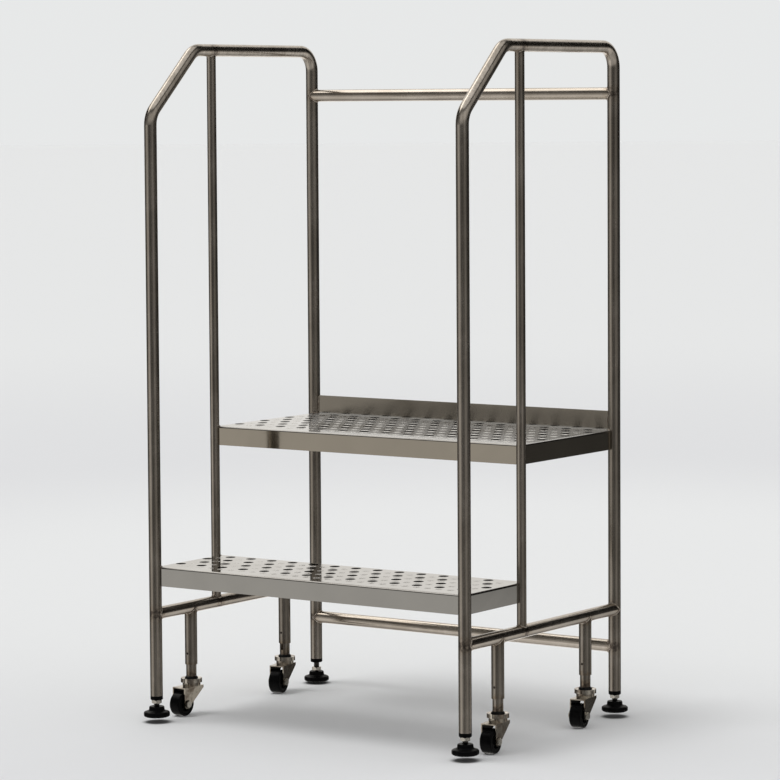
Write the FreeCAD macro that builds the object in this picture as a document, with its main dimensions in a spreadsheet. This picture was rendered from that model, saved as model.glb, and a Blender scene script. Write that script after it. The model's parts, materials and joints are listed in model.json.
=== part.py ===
import FreeCAD, Part
import Sketcher
import math
import os
import re

# Two-step mobile work platform with handrails, in welded stainless steel tube.
# Millimetres.  +X is to the right of a person who climbs up, +Y is the way they climb, +Z is up.
# The origin is on the floor, in the middle of the four legs.

os.makedirs("parts", exist_ok=True)
doc = FreeCAD.newDocument("WorkPlatform")

SIZES = [
    # frame
    ("leg_spacing_across", 752.0, "left leg axis to right leg axis"),
    ("leg_spacing_deep", 554.0, "front leg axis to rear leg axis"),
    ("post_setback", 202.0, "front leg axis to mid post axis"),
    ("tube_diameter", 25.4, "legs, handrails, rails and sleeves"),
    ("tube_wall", 1.5, "wall of legs, handrails and rails"),
    ("post_diameter", 19.05, "mid posts"),
    ("post_wall", 1.2, "wall of mid posts"),
    ("leg_bottom", 54.0, "height of the cut ends of the legs"),
    ("handrail_height", 1364.0, "axis of the level handrail"),
    ("slope_rise", 132.0, "height taken by the sloping handrail"),
    ("slope_run", 143.0, "depth taken by the sloping handrail"),
    ("front_bend_radius", 44.0, "centre line radius of both front bends"),
    ("rear_bend_radius", 42.0, "centre line radius of the rear bend"),
    ("side_rail_height", 222.0, "axis of the side rails"),
    ("lower_cross_height", 145.0, "axis of the lower rear cross rail"),
    ("upper_cross_drop", 94.0, "level handrail to the upper rear cross rail"),
    # treads
    ("lower_tread_height", 318.0, "top of the lower tread"),
    ("upper_tread_height", 588.0, "top of the upper tread"),
    ("lower_tread_overhang", 16.0, "mid post axis to the back edge of the lower tread"),
    ("sheet_thickness", 2.0, "tread sheet"),
    ("sheet_bend_radius", 4.0, "outside radius of the folded edges"),
    ("flange_depth", 39.0, "turned-down edge of both treads"),
    ("toe_board_rise", 38.5, "turned-up edge above the upper tread"),
    ("hole_diameter", 20.0, "drain holes"),
    ("hole_pitch", 53.0, "hole to hole in one row"),
    ("row_pitch", 44.0, "row to row"),
    ("first_hole_inset", 16.0, "leg axis to the first hole of the first row"),
    ("first_row_inset", 64.0, "front flange to the first row"),
    ("hole_land", 3.0, "least metal left beside a hole"),
    # spring-loaded casters
    ("caster_inset", 115.0, "leg axis to the nearest caster axis"),
    ("sleeve_wall", 2.0, "caster sleeve"),
    ("seat_drop", 3.3, "side rail to the top of the spring seat inside a sleeve"),
    ("spring_seat_thickness", 3.0, "spring seat"),
    ("plunger_clearance", 0.08, "radial gap between plunger and sleeve"),
    ("plunger_wall", 2.0, "plunger tube"),
    ("plunger_length", 74.0, "whole plunger"),
    ("plunger_exposed", 27.0, "plunger below the sleeve"),
    ("plunger_cap", 3.0, "thickness of the closed upper end"),
    ("caster_travel", 10.0, "how far a caster can be pushed up"),
    ("cross_pin_diameter", 5.0, "pin across each sleeve"),
    ("cross_pin_inset", 23.0, "lower end of the sleeve to the pin"),
    ("pin_hole_depth", 0.6, "how deep the pin ends sit below the sleeve surface"),
    ("slot_clearance", 0.25, "gap round the cross pin in the plunger slot"),
    ("open_slot_drop", 12.0, "how far the rear left slot shows below its sleeve"),
    ("spring_wire", 2.0, "spring wire diameter"),
    ("spring_side_gap", 1.3, "gap between spring and sleeve"),
    ("spring_turns", 8.0, "active turns"),
    ("spring_end_gap", 0.15, "gap at each end of the spring"),
    ("ring_diameter", 44.0, "upper swivel ring"),
    ("ring_height", 8.5, "upper swivel ring"),
    ("ring_groove", 2.2, "depth of the dished top round the plunger"),
    ("ring_flat", 1.0, "flat round the plunger in that dished top"),
    ("ring_lip", 2.0, "rim round the dished top"),
    ("notch_width", 2.4, "slit in the front of the upper swivel ring"),
    ("notch_depth", 12.1, "the same slit, from the edge of the ring"),
    ("race_gap", 0.3, "running gap above and below the fork crown"),
    ("race_diameter", 37.0, "lower swivel race on the fork crown"),
    ("race_height", 6.7, "the same race above the fork crown"),
    ("kingpin_diameter", 9.0, "rivet through the fork crown"),
    ("kingpin_head", 15.0, "diameter of the rivet head"),
    ("kingpin_head_thickness", 3.0, "rivet head"),
    ("kingpin_plug", 12.0, "upper end of the rivet inside the plunger"),
    ("kingpin_collar", 3.0, "how far the collar between ring and plunger stands out"),
    ("shoulder_rise", 1.5, "top of the swivel ring to the lower end of the plunger"),
    ("pivot_clearance", 0.06, "radial gap at kingpin and axle"),
    ("crown_clearance", 6.5, "tyre to the underside of the fork crown"),
    ("fork_sheet", 2.5, "fork sheet thickness"),
    ("tyre_side_gap", 1.5, "gap between tyre and each fork cheek"),
    ("axle_eye_radius", 9.0, "round end of the cheeks about the axle"),
    ("fork_back", 19.0, "swivel axis to the back of the crown"),
    ("wheel_trail", 31.0, "swivel axis to wheel axle"),
    ("wheel_diameter", 50.0, "caster wheel"),
    ("wheel_width", 25.0, "tyre width"),
    ("tyre_crown", 1.5, "fall of the tyre surface from the middle to each side"),
    ("tyre_corner", 2.5, "rounding of the tyre shoulders"),
    ("tyre_thickness", 8.0, "tyre over the wheel hub"),
    ("hub_side_gap", 0.4, "gap between hub and each cheek"),
    ("hub_rim", 3.0, "thickness of the hub rim"),
    ("hub_web", 8.0, "thickness of the hub web"),
    ("hub_boss", 16.0, "diameter of the hub boss"),
    ("axle_diameter", 8.0, "axle bolt"),
    ("axle_end", 4.5, "thickness of bolt head and nut"),
    ("axle_across_flats", 13.0, "bolt head and nut"),
    ("turn_front_left", -3.0, "degrees that each caster is swivelled from straight"),
    ("turn_rear_left", 10.0, "the same"),
    ("turn_front_right", 6.0, "the same"),
    ("turn_rear_right", 8.0, "the same"),
    # levelling feet
    ("plug_flange", 8.0, "black end plug below the leg"),
    ("plug_insert", 22.0, "end plug inside the leg"),
    ("plug_chamfer", 1.0, "lower edge of the end plug"),
    ("stem_diameter", 12.0, "threaded stem"),
    ("thread_clearance", 0.06, "radial gap at the stem"),
    ("stem_inside", 45.0, "stem above the cut end of the leg"),
    ("nut_across_flats", 19.0, "jam nut"),
    ("nut_thickness", 7.0, "jam nut"),
    ("nut_bevel", 1.5, "height of the bevels on the nut corners"),
    ("nut_seat_gap", 0.3, "gap between jam nut and end plug"),
    ("low_nut_gap", 1.6, "gap between the run-down rear left nut and its pad"),
    ("pad_diameter", 54.0, "foot pad"),
    ("pad_base", 12.0, "height of the wide part of the pad"),
    ("pad_neck_diameter", 30.0, "neck of the pad"),
    ("pad_height", 22.0, "whole pad"),
    ("pad_corner", 2.5, "rounding of the pad rims"),
    ("ball_radius", 7.0, "ball at the lower end of the stem"),
    ("ball_height", 10.5, "centre of the ball above the underside of the pad"),
    ("ball_clearance", 0.2, "gap between ball and socket"),
    ("stem_neck_diameter", 8.0, "stem between ball and thread"),
    ("pad_throat_gap", 0.7, "gap round the stem neck where the socket is narrowest"),
    ("pad_mouth_gap", 1.8, "gap round the stem neck at the mouth of the socket"),
    ("neck_reach", 1.5, "bare stem neck above the pad"),
    ("foot_gap", 11.0, "floor to pad while the casters carry the platform"),
    ("long_foot_gap", 4.5, "the same at the rear left foot, which is screwed out further"),
    # the tools that cut
    ("tool_overrun", 0.01, "how far a cutting tool runs past the face that it opens"),
]

sheet = doc.addObject("Spreadsheet::Sheet", "Sizes")
ALIASES = set()
for row, (alias, number, meaning) in enumerate(SIZES, start=1):
    sheet.set(f"A{row}", alias.replace("_", " "))
    sheet.set(f"B{row}", str(number))
    sheet.set(f"C{row}", meaning)
    sheet.setAlias(f"B{row}", alias)
    ALIASES.add(alias)
doc.recompute()

NODES = {}
TINY = 1e-6

# Heights and places that follow from the sizes on the sheet.
LEFT, RIGHT = "-leg_spacing_across / 2", "leg_spacing_across / 2"
FRONT, BACK = "-leg_spacing_deep / 2", "leg_spacing_deep / 2"
POST = f"{FRONT} + post_setback"
SIDES = (("left", LEFT), ("right", RIGHT))
CROWN_TOP = "(wheel_diameter + crown_clearance + fork_sheet)"
RING_BOTTOM = f"({CROWN_TOP} + race_height + race_gap)"
RING_TOP = f"({RING_BOTTOM} + ring_height)"
PLUNGER_BOTTOM = f"({RING_TOP} + shoulder_rise)"
PLUNGER_TOP = f"({PLUNGER_BOTTOM} + plunger_length)"
SLEEVE_BOTTOM = f"({PLUNGER_BOTTOM} + plunger_exposed)"
PIN_HEIGHT = f"({SLEEVE_BOTTOM} + cross_pin_inset)"
SEAT_LOW = "(side_rail_height - tube_diameter / 2 - seat_drop - spring_seat_thickness)"


def on_sheet(formula):
    """The formula with each size's name turned into its cell; other words, such as sqrt, stay."""
    return re.sub(r"[a-z_]+", lambda word: f"Sizes.{word.group()}" if word.group() in ALIASES
                  else word.group(), formula)


def value(formula):
    """The number that a formula of sizes gives now."""
    return float(sheet.evalExpression(on_sheet(formula)))


def bind(thing, **formulas):
    """Tie properties of an object to the sheet: P_x is Placement.Base.x, P_turn its angle."""
    names = {"P_x": "Placement.Base.x", "P_y": "Placement.Base.y", "P_z": "Placement.Base.z",
             "P_turn": "Placement.Rotation.Angle"}
    for key, formula in formulas.items():
        thing.setExpression(names.get(key, key), on_sheet(formula))
    return thing


def turned_by(axis, degrees):
    return FreeCAD.Placement(FreeCAD.Vector(), FreeCAD.Rotation(FreeCAD.Vector(*axis), degrees))


ALONG = {"X": turned_by((0, 1, 0), 90), "Y": turned_by((1, 0, 0), -90), "Z": FreeCAD.Placement()}


def rod(name, diameter, length, x="0", y="0", z="0", axis="Z"):
    """A cylinder that starts at x, y, z and runs along +axis."""
    made = doc.addObject("Part::Cylinder", name)
    made.Placement = ALONG[axis]
    return bind(made, Radius=f"({diameter}) / 2", Height=length, P_x=x, P_y=y, P_z=z)


def block(name, length, width, height, x="0", y="0", z="0"):
    """A box with its low corner at x, y, z."""
    made = doc.addObject("Part::Box", name)
    return bind(made, Length=length, Width=width, Height=height, P_x=x, P_y=y, P_z=z)


def cone(name, low, high, height, z):
    made = doc.addObject("Part::Cone", name)
    return bind(made, Radius1=f"({low}) / 2", Radius2=f"({high}) / 2", Height=height, P_z=z)


def fuse(name, *pieces):
    made = doc.addObject("Part::MultiFuse", name)
    made.Shapes = list(pieces)
    return made


def cut(name, base, *tools):
    made = doc.addObject("Part::Cut", name)
    made.Base = base
    made.Tool = tools[0] if len(tools) == 1 else fuse(f"{name}_tools", *tools)
    return made


def node(thing, label):
    thing.Label = label
    NODES[label] = thing
    return thing


def copy_to(shape_of, name, x="0", y="0", z="0", turn=None):
    """A linked copy of a piece that was drawn on the Z axis, moved to its own place."""
    made = doc.addObject("Part::Compound", name)
    made.Links = [shape_of]
    if turn:
        made.Placement = turned_by((0, 0, 1), 1)
        bind(made, P_turn=turn)
    return bind(made, P_x=x, P_y=y, P_z=z)


# ---------------------------------------------------------------- sketches

rule = Sketcher.Constraint
ORIGIN = (-1, 1)


def sketch_on(body, name, plane_role):
    drawn = body.newObject("Sketcher::SketchObject", name)
    plane = next(f for f in body.Origin.OriginFeatures if f.Role == plane_role)
    drawn.AttachmentSupport = [(plane, "")]
    drawn.MapMode = "FlatFace"
    return drawn


def measure(drawn, kind, where, formula):
    """A dimension in a sketch that is bound to a formula of sizes."""
    number = drawn.addConstraint(rule(kind, *where, value(formula)))
    drawn.renameConstraint(number, f"size_{number}")
    bind(drawn, **{f"Constraints.size_{number}": formula})


def spot(across, up):
    return FreeCAD.Vector(value(across), value(up), 0)


# ---------------------------------------------------------------- bent side frames

SLOPE_START = "(handrail_height - slope_rise)"


def frame_path(body, side):
    """Centre line of a side frame: front leg, sloping rail, level handrail, rear leg."""
    path = sketch_on(body, f"frame_path_{side}", "YZ_Plane")
    corners = [spot(FRONT, "leg_bottom"), spot(FRONT, SLOPE_START),
               spot(f"{FRONT} + slope_run", "handrail_height"),
               spot(BACK, "handrail_height"), spot(BACK, "leg_bottom")]
    radii = ["front_bend_radius", "front_bend_radius", "rear_bend_radius"]
    starts, ends, bends = [corners[0]], [], []
    for here, before, after, radius in zip(corners[1:-1], corners[:-2], corners[2:], radii):
        back_way = (before - here).normalize()
        on_way = (after - here).normalize()
        half = back_way.getAngle(on_way) / 2
        reach = value(radius) / math.tan(half)
        enter, leave = here + back_way * reach, here + on_way * reach
        centre = here + (back_way + on_way).normalize() * (value(radius) / math.sin(half))
        ends.append(enter)
        starts.append(leave)
        # Every bend turns clockwise along the tube, so its arc is stored from leave to enter.
        first, last = (math.atan2(end.y - centre.y, end.x - centre.x) for end in (leave, enter))
        circle = Part.Circle(centre, FreeCAD.Vector(0, 0, 1), value(radius))
        bends.append(Part.ArcOfCircle(circle, first, last))
    ends.append(corners[-1])
    lines = [path.addGeometry(Part.LineSegment(a, b), False) for a, b in zip(starts, ends)]
    arcs = [path.addGeometry(bend, False) for bend in bends]
    for index, arc in enumerate(arcs):
        path.addConstraint(rule("Tangent", lines[index], 2, arc, 2))
        path.addConstraint(rule("Tangent", arc, 1, lines[index + 1], 1))
    path.addConstraint(rule("Vertical", lines[0]))
    path.addConstraint(rule("Horizontal", lines[2]))
    path.addConstraint(rule("Vertical", lines[3]))
    measure(path, "DistanceX", (lines[0], 1, *ORIGIN), f"-({FRONT})")
    measure(path, "DistanceY", (*ORIGIN, lines[0], 1), "leg_bottom")
    measure(path, "DistanceX", (*ORIGIN, lines[3], 2), BACK)
    measure(path, "DistanceY", (*ORIGIN, lines[3], 2), "leg_bottom")
    measure(path, "DistanceY", (*ORIGIN, lines[2], 1), "handrail_height")
    for arc, radius in zip(arcs, radii):
        measure(path, "Radius", (arc,), radius)
    # The two corner points of the slope are construction points on both neighbouring lines.
    low_corner = path.addGeometry(Part.Point(corners[1]), True)
    high_corner = path.addGeometry(Part.Point(corners[2]), True)
    for corner, touching in ((low_corner, lines[:2]), (high_corner, lines[1:3])):
        for line in touching:
            path.addConstraint(rule("PointOnObject", corner, 1, line))
    measure(path, "DistanceY", (*ORIGIN, low_corner, 1), SLOPE_START)
    measure(path, "DistanceX", (*ORIGIN, high_corner, 1), f"{FRONT} + slope_run")
    return path


def frame_section(body, side):
    """Outer and inner circle of the tube, at the foot of the front leg."""
    section = sketch_on(body, f"frame_section_{side}", "XY_Plane")
    bind(section, **{"AttachmentOffset.Base.z": "leg_bottom"})
    for radius in ("tube_diameter / 2", "tube_diameter / 2 - tube_wall"):
        shape = Part.Circle(spot("0", FRONT), FreeCAD.Vector(0, 0, 1), value(radius))
        circle = section.addGeometry(shape, False)
        section.addConstraint(rule("PointOnObject", circle, 3, -2))
        measure(section, "DistanceY", (circle, 3, *ORIGIN), f"-({FRONT})")
        measure(section, "Radius", (circle,), radius)
    return section


def side_frame(side, x):
    body = doc.addObject("PartDesign::Body", f"side_frame_{side}_body")
    path = frame_path(body, side)
    section = frame_section(body, side)
    doc.recompute()
    pipe = body.newObject("PartDesign::AdditivePipe", f"frame_pipe_{side}")
    pipe.Profile = section
    pipe.Spine = (path, [])
    pipe.Mode = "Standard"
    body.Tip = pipe
    bind(body, P_x=x)
    return body


for side, x in SIDES:
    node(side_frame(side, x), f"side_frame_{side}")


# ---------------------------------------------------------------- rails and posts

def hollow(name, diameter, wall, length, x, y, z, axis, *tools):
    outer = rod(f"{name}_outer", diameter, length, x, y, z, axis)
    inner = rod(f"{name}_bore", f"{diameter} - 2 * {wall}", length, x, y, z, axis)
    return cut(name, outer, inner, *tools)


LEG_REACH = "handrail_height"
for side, x in SIDES:
    saddles = [rod(f"side_rail_{side}_saddle_{end}", "tube_diameter", LEG_REACH, x, y, "0")
               for end, y in (("front", FRONT), ("back", BACK))]
    rail = hollow(f"side_rail_{side}_tube", "tube_diameter", "tube_wall", "leg_spacing_deep",
                  x, FRONT, "side_rail_height", "Y", *saddles)
    node(rail, f"side_rail_{side}")

    copes = [rod(f"mid_post_{side}_cope_{end}", "tube_diameter", "leg_spacing_deep", x, FRONT, z, "Y")
             for end, z in (("low", "side_rail_height"), ("high", "handrail_height"))]
    post = hollow(f"mid_post_{side}_tube", "post_diameter", "post_wall",
                  "handrail_height - side_rail_height", x, POST, "side_rail_height", "Z", *copes)
    node(post, f"mid_post_{side}")

for name, z in (("lower_cross_rail", "lower_cross_height"),
                ("upper_cross_rail", "handrail_height - upper_cross_drop")):
    saddles = [rod(f"{name}_saddle_{side}", "tube_diameter", LEG_REACH, x, BACK, "0")
               for side, x in SIDES]
    rail = hollow(f"{name}_tube", "tube_diameter", "tube_wall", "leg_spacing_across",
                  LEFT, BACK, z, "X", *saddles)
    node(rail, name)


# ---------------------------------------------------------------- perforated treads

def rounded_block(name, base, radius, sharp_back):
    """Round the top edges of a box, except the back one where sharp_back is true."""
    doc.recompute()
    bounds = base.Shape.BoundBox

    def is_rounded(edge):
        ends = [vertex.Point for vertex in edge.Vertexes]
        at_top = all(abs(end.z - bounds.ZMax) < TINY for end in ends)
        at_back = all(abs(end.y - bounds.YMax) < TINY for end in ends)
        return at_top and not (sharp_back and at_back)

    made = doc.addObject("Part::Fillet", name)
    made.Base = base
    made.Edges = [(number, value(radius), value(radius))
                  for number, edge in enumerate(base.Shape.Edges, start=1) if is_rounded(edge)]
    return made


def hole_places(front, depth, tubes):
    """Centres of the drain holes: staggered rows that keep clear of the tubes in the corners."""
    pitch, half_wide = value("hole_pitch"), value(RIGHT)
    first_x, first_y = value(f"{LEFT} + first_hole_inset"), value(f"{front} + first_row_inset")
    margin = value("hole_diameter / 2 + hole_land")
    tubes_at = [(value(y), value(diameter) / 2) for y, diameter in tubes]
    rows = int(value(f"({depth} - first_row_inset - hole_diameter / 2) / row_pitch")) + 1
    places = []
    for row in range(rows):
        y = first_y + row * value("row_pitch")
        x = first_x + pitch / 2 * (row % 2)
        while half_wide - x >= margin:
            clear = all(math.hypot(half_wide - abs(x), y - tube_y) >= margin + radius
                        for tube_y, radius in tubes_at)
            if clear and half_wide + x >= margin:
                places.append((x, y))
            x += pitch
    return places


def hole_cutters(name, front, depth, top, tubes):
    made = doc.addObject("Part::Feature", name)
    reach = value("4 * sheet_thickness")
    low = value(f"{top} - 2 * sheet_thickness")
    made.Shape = Part.makeCompound([
        Part.makeCylinder(value("hole_diameter / 2"), reach, FreeCAD.Vector(x, y, low))
        for x, y in hole_places(front, depth, tubes)])
    return made


def tread(name, front, depth, top, tubes, toe_board=None):
    """A folded pan: flat top, turned-down edges, notched round the tubes and perforated.

    With a toe board its back edge turns up instead of down.
    """
    turns_up = toe_board is not None
    both_walls = "2 * sheet_thickness"
    outer = block(f"{name}_blank", "leg_spacing_across", depth, "flange_depth",
                  LEFT, front, f"{top} - flange_depth")
    inner = block(f"{name}_hollow", f"leg_spacing_across - {both_walls}",
                  depth if turns_up else f"{depth} - {both_walls}", "flange_depth",
                  f"{LEFT} + sheet_thickness", f"{front} + sheet_thickness",
                  f"{top} - flange_depth - sheet_thickness")
    skin = rounded_block(f"{name}_blank_bends", outer, "sheet_bend_radius", turns_up)
    core = rounded_block(f"{name}_hollow_bends", inner, "sheet_bend_radius - sheet_thickness", turns_up)
    pan = cut(f"{name}_pan", skin, core)
    if turns_up:
        pan = fuse(f"{name}_with_toe_board", pan, toe_board)
    holes = hole_cutters(f"{name}_holes", front, depth, top, tubes)
    notches = [rod(f"{name}_notch_{side}_{number}", diameter, f"{top} + toe_board_rise", x, y)
               for side, x in SIDES for number, (y, diameter) in enumerate(tubes)]
    return node(cut(f"{name}_sheet", pan, holes, *notches), name)


tread("lower_tread", FRONT, "(post_setback + lower_tread_overhang)", "lower_tread_height",
      ((FRONT, "tube_diameter"), (POST, "post_diameter")))
tread("upper_tread", POST, "(leg_spacing_deep - post_setback)", "upper_tread_height",
      ((POST, "post_diameter"), (BACK, "tube_diameter")),
      toe_board=block("toe_board", "leg_spacing_across", "sheet_thickness",
                      "toe_board_rise + sheet_thickness",
                      LEFT, f"{BACK} - sheet_thickness", "upper_tread_height - sheet_thickness"))


# ---------------------------------------------------------------- turned pieces

def turned(name, outline):
    """A piece turned on a lathe: the outline is a list of (radius formula, height formula)."""
    body = doc.addObject("PartDesign::Body", f"{name}_body")
    drawn = sketch_on(body, f"{name}_outline", "XZ_Plane")
    corners = [spot(radius, height) for radius, height in outline]
    edges = [drawn.addGeometry(Part.LineSegment(a, b), False)
             for a, b in zip(corners, corners[1:] + corners[:1])]
    for edge, following in zip(edges, edges[1:] + edges[:1]):
        drawn.addConstraint(rule("Coincident", edge, 2, following, 1))
    for edge, (radius, height) in zip(edges, outline):
        measure(drawn, "DistanceX", (*ORIGIN, edge, 1), radius)
        measure(drawn, "DistanceY", (*ORIGIN, edge, 1), height)
    doc.recompute()
    spun = body.newObject("PartDesign::Revolution", f"{name}_turned")
    spun.Profile = drawn
    spun.ReferenceAxis = (drawn, ["V_Axis"])
    spun.Angle = 360
    body.Tip = spun
    return body


# ---------------------------------------------------------------- spring-loaded casters
# Every piece is drawn once on the Z axis and then copied to the four corners.

SLEEVE_BORE = "(tube_diameter - 2 * sleeve_wall)"
PLUNGER = f"({SLEEVE_BORE} - 2 * plunger_clearance)"
PLUNGER_BORE = f"({PLUNGER} - 2 * plunger_wall)"

sleeve_shell = hollow("sleeve_shell", "tube_diameter", "sleeve_wall",
                      f"side_rail_height - {SLEEVE_BOTTOM}", "0", "0", SLEEVE_BOTTOM, "Z")
sleeve_seat = rod("sleeve_seat", "tube_diameter - sleeve_wall", "spring_seat_thickness", z=SEAT_LOW)
sleeve_rail = rod("sleeve_rail", "tube_diameter", "2 * tube_diameter",
                  y="-tube_diameter", z="side_rail_height", axis="Y")
sleeve_drill = rod("sleeve_drill", "cross_pin_diameter", "2 * tube_diameter",
                   y="-tube_diameter", z=PIN_HEIGHT, axis="Y")
sleeve = cut("sleeve", fuse("sleeve_welded", sleeve_shell, sleeve_seat), sleeve_rail, sleeve_drill)

pin = rod("cross_pin", "cross_pin_diameter", "tube_diameter - 2 * pin_hole_depth",
          y="pin_hole_depth - tube_diameter / 2", z=PIN_HEIGHT, axis="Y")

plunger_tube = rod("plunger_tube", PLUNGER, "plunger_length", z=PLUNGER_BOTTOM)
plunger_bore = rod("plunger_bore", PLUNGER_BORE, "plunger_length - plunger_cap", z=PLUNGER_BOTTOM)
SLOT = "(cross_pin_diameter + 2 * slot_clearance)"


def slot_tools(name, bottom, length):
    """A round-ended slot across the plunger; its top end rests on the cross pin."""
    wide = "2 * tube_diameter"
    ends = [rod(f"{name}_end_{number}", SLOT, wide, y="-tube_diameter", z=z, axis="Y")
            for number, z in enumerate((bottom, f"{bottom} + {length}"))]
    middle = block(f"{name}_middle", SLOT, wide, length, f"-{SLOT} / 2", "-tube_diameter", bottom)
    return [*ends, middle]


plunger = cut("plunger", plunger_tube, plunger_bore,
              *slot_tools("slot", f"{PIN_HEIGHT} - caster_travel", "caster_travel"))
plunger_open = cut("plunger_open", plunger,
                   *slot_tools("open_slot", f"{SLEEVE_BOTTOM} - open_slot_drop",
                               "(cross_pin_inset + open_slot_drop)"))

COIL_RADIUS = f"({SLEEVE_BORE} / 2 - spring_side_gap - spring_wire / 2)"
COIL_RISE = f"({SEAT_LOW} - {PLUNGER_TOP} - spring_wire - 2 * spring_end_gap)"
COIL_START = f"({PLUNGER_TOP} + spring_end_gap + spring_wire / 2)"
coil = doc.addObject("Part::Helix", "spring_coil")
bind(coil, Radius=COIL_RADIUS, Height=COIL_RISE, Pitch=f"{COIL_RISE} / spring_turns", P_z=COIL_START)
wire = doc.addObject("Part::Circle", "spring_wire_section")
wire.Placement = turned_by((1, 0, 0), 90)
bind(wire, Radius="spring_wire / 2", P_x=COIL_RADIUS, P_z=COIL_START)
spring = doc.addObject("Part::Sweep", "spring")
spring.Sections = [wire]
spring.Spine = (coil, [])
spring.Solid = True
spring.Frenet = True

ring_body = rod("ring_body", "ring_diameter", "ring_height", z=RING_BOTTOM)
ring_bevel = cone("ring_bevel", f"{PLUNGER} + 2 * ring_flat", "ring_diameter - 2 * ring_lip",
                  "ring_groove", f"{RING_TOP} - ring_groove + tool_overrun")
ring_notch = block("ring_notch", "notch_width", "ring_diameter", "ring_height",
                   "-notch_width / 2", "notch_depth - 1.5 * ring_diameter", RING_BOTTOM)
ring_hole = rod("ring_hole", "kingpin_diameter", "2 * ring_height", z=f"{RING_BOTTOM} - ring_height / 2")
ring = cut("ring", ring_body, ring_bevel, ring_notch, ring_hole)

KINGPIN_LOW = f"({CROWN_TOP} - fork_sheet - race_gap)"
kingpin = fuse(
    "kingpin",
    rod("kingpin_shank", "kingpin_diameter", f"{PLUNGER_BOTTOM} - {KINGPIN_LOW} + kingpin_plug",
        z=KINGPIN_LOW),
    rod("kingpin_plug_in_plunger", PLUNGER_BORE, "kingpin_plug", z=PLUNGER_BOTTOM),
    rod("kingpin_shoulder", "kingpin_diameter + 2 * kingpin_collar", "shoulder_rise + ring_groove",
        z=f"{RING_TOP} - ring_groove"),
    rod("kingpin_rivet", "kingpin_head", "kingpin_head_thickness",
        z=f"{KINGPIN_LOW} - kingpin_head_thickness"))

FORK_GAP = "(wheel_width + 2 * tyre_side_gap)"
FORK_WIDE = f"({FORK_GAP} + 2 * fork_sheet)"
AXLE_HEIGHT = "wheel_diameter / 2"


def fork_body():
    """Pressed fork: side profile padded across the wheel, the wheel space cut out of it later."""
    body = doc.addObject("PartDesign::Body", "fork_body")
    drawn = sketch_on(body, "fork_side", "YZ_Plane")
    eye = value("axle_eye_radius")
    hub_at = spot("-wheel_trail", AXLE_HEIGHT)
    front_top = spot("-(wheel_trail + axle_eye_radius)", CROWN_TOP)
    back_top = spot("fork_back", CROWN_TOP)
    back_low = spot("fork_back", f"{CROWN_TOP} - 2 * fork_sheet")
    # The sloping edge runs from the back of the crown, tangent to the round end about the axle.
    away = back_low - hub_at
    lean = math.atan2(away.y, away.x) - math.acos(eye / away.Length)
    touch = hub_at + FreeCAD.Vector(math.cos(lean), math.sin(lean), 0) * eye
    corners = [hub_at - FreeCAD.Vector(eye, 0, 0), front_top, back_top, back_low, touch]
    edges = [drawn.addGeometry(Part.LineSegment(a, b), False) for a, b in zip(corners, corners[1:])]
    circle = Part.Circle(hub_at, FreeCAD.Vector(0, 0, 1), eye)
    arc = drawn.addGeometry(Part.ArcOfCircle(circle, -math.pi, lean), False)
    for first, second in zip(edges, edges[1:]):
        drawn.addConstraint(rule("Coincident", first, 2, second, 1))
    drawn.addConstraint(rule("Tangent", edges[-1], 2, arc, 2))
    drawn.addConstraint(rule("Tangent", arc, 1, edges[0], 1))
    drawn.addConstraint(rule("Vertical", edges[0]))
    drawn.addConstraint(rule("Horizontal", edges[1]))
    drawn.addConstraint(rule("Vertical", edges[2]))
    measure(drawn, "DistanceX", (arc, 3, *ORIGIN), "wheel_trail")
    measure(drawn, "DistanceY", (*ORIGIN, arc, 3), AXLE_HEIGHT)
    measure(drawn, "Radius", (arc,), "axle_eye_radius")
    measure(drawn, "DistanceY", (*ORIGIN, edges[1], 1), CROWN_TOP)
    measure(drawn, "DistanceX", (*ORIGIN, edges[2], 1), "fork_back")
    measure(drawn, "DistanceY", (edges[2], 2, edges[2], 1), "2 * fork_sheet")
    doc.recompute()
    pad = body.newObject("PartDesign::Pad", "fork_pad")
    pad.Profile = drawn
    pad.Midplane = True
    bind(pad, Length=FORK_WIDE)
    body.Tip = pad
    return body


fork_blank = fork_body()
fork_race = rod("fork_race", "race_diameter", "race_height", z=CROWN_TOP)
fork_room = block("fork_room", FORK_GAP, "4 * wheel_diameter",
                  f"{CROWN_TOP} - fork_sheet + wheel_diameter",
                  f"-{FORK_GAP} / 2", "-2 * wheel_diameter", "-wheel_diameter")
fork_kingpin = rod("fork_kingpin", "kingpin_diameter + 2 * pivot_clearance", f"2 * {CROWN_TOP}")
fork_axle = rod("fork_axle", "axle_diameter", f"4 * {FORK_GAP}", f"-2 * {FORK_GAP}", "-wheel_trail",
                AXLE_HEIGHT, "X")
fork = cut("fork", fuse("fork_solid", fork_blank, fork_race), fork_room, fork_kingpin, fork_axle)

AXLE_REACH = f"({FORK_WIDE} / 2 + axle_end)"
axle_heads = []
for number, start in enumerate((f"-{AXLE_REACH}", f"{FORK_WIDE} / 2")):
    head = doc.addObject("Part::Prism", f"axle_head_{number}")
    head.Polygon = 6
    head.Placement = ALONG["X"]
    bind(head, Circumradius="axle_across_flats / sqrt(3)", Height="axle_end", P_x=start,
         P_y="-wheel_trail", P_z=AXLE_HEIGHT)
    axle_heads.append(head)
axle = fuse("axle", rod("axle_shank", "axle_diameter", FORK_WIDE, f"-{FORK_WIDE} / 2",
                        "-wheel_trail", AXLE_HEIGHT, "X"), *axle_heads)

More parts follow.
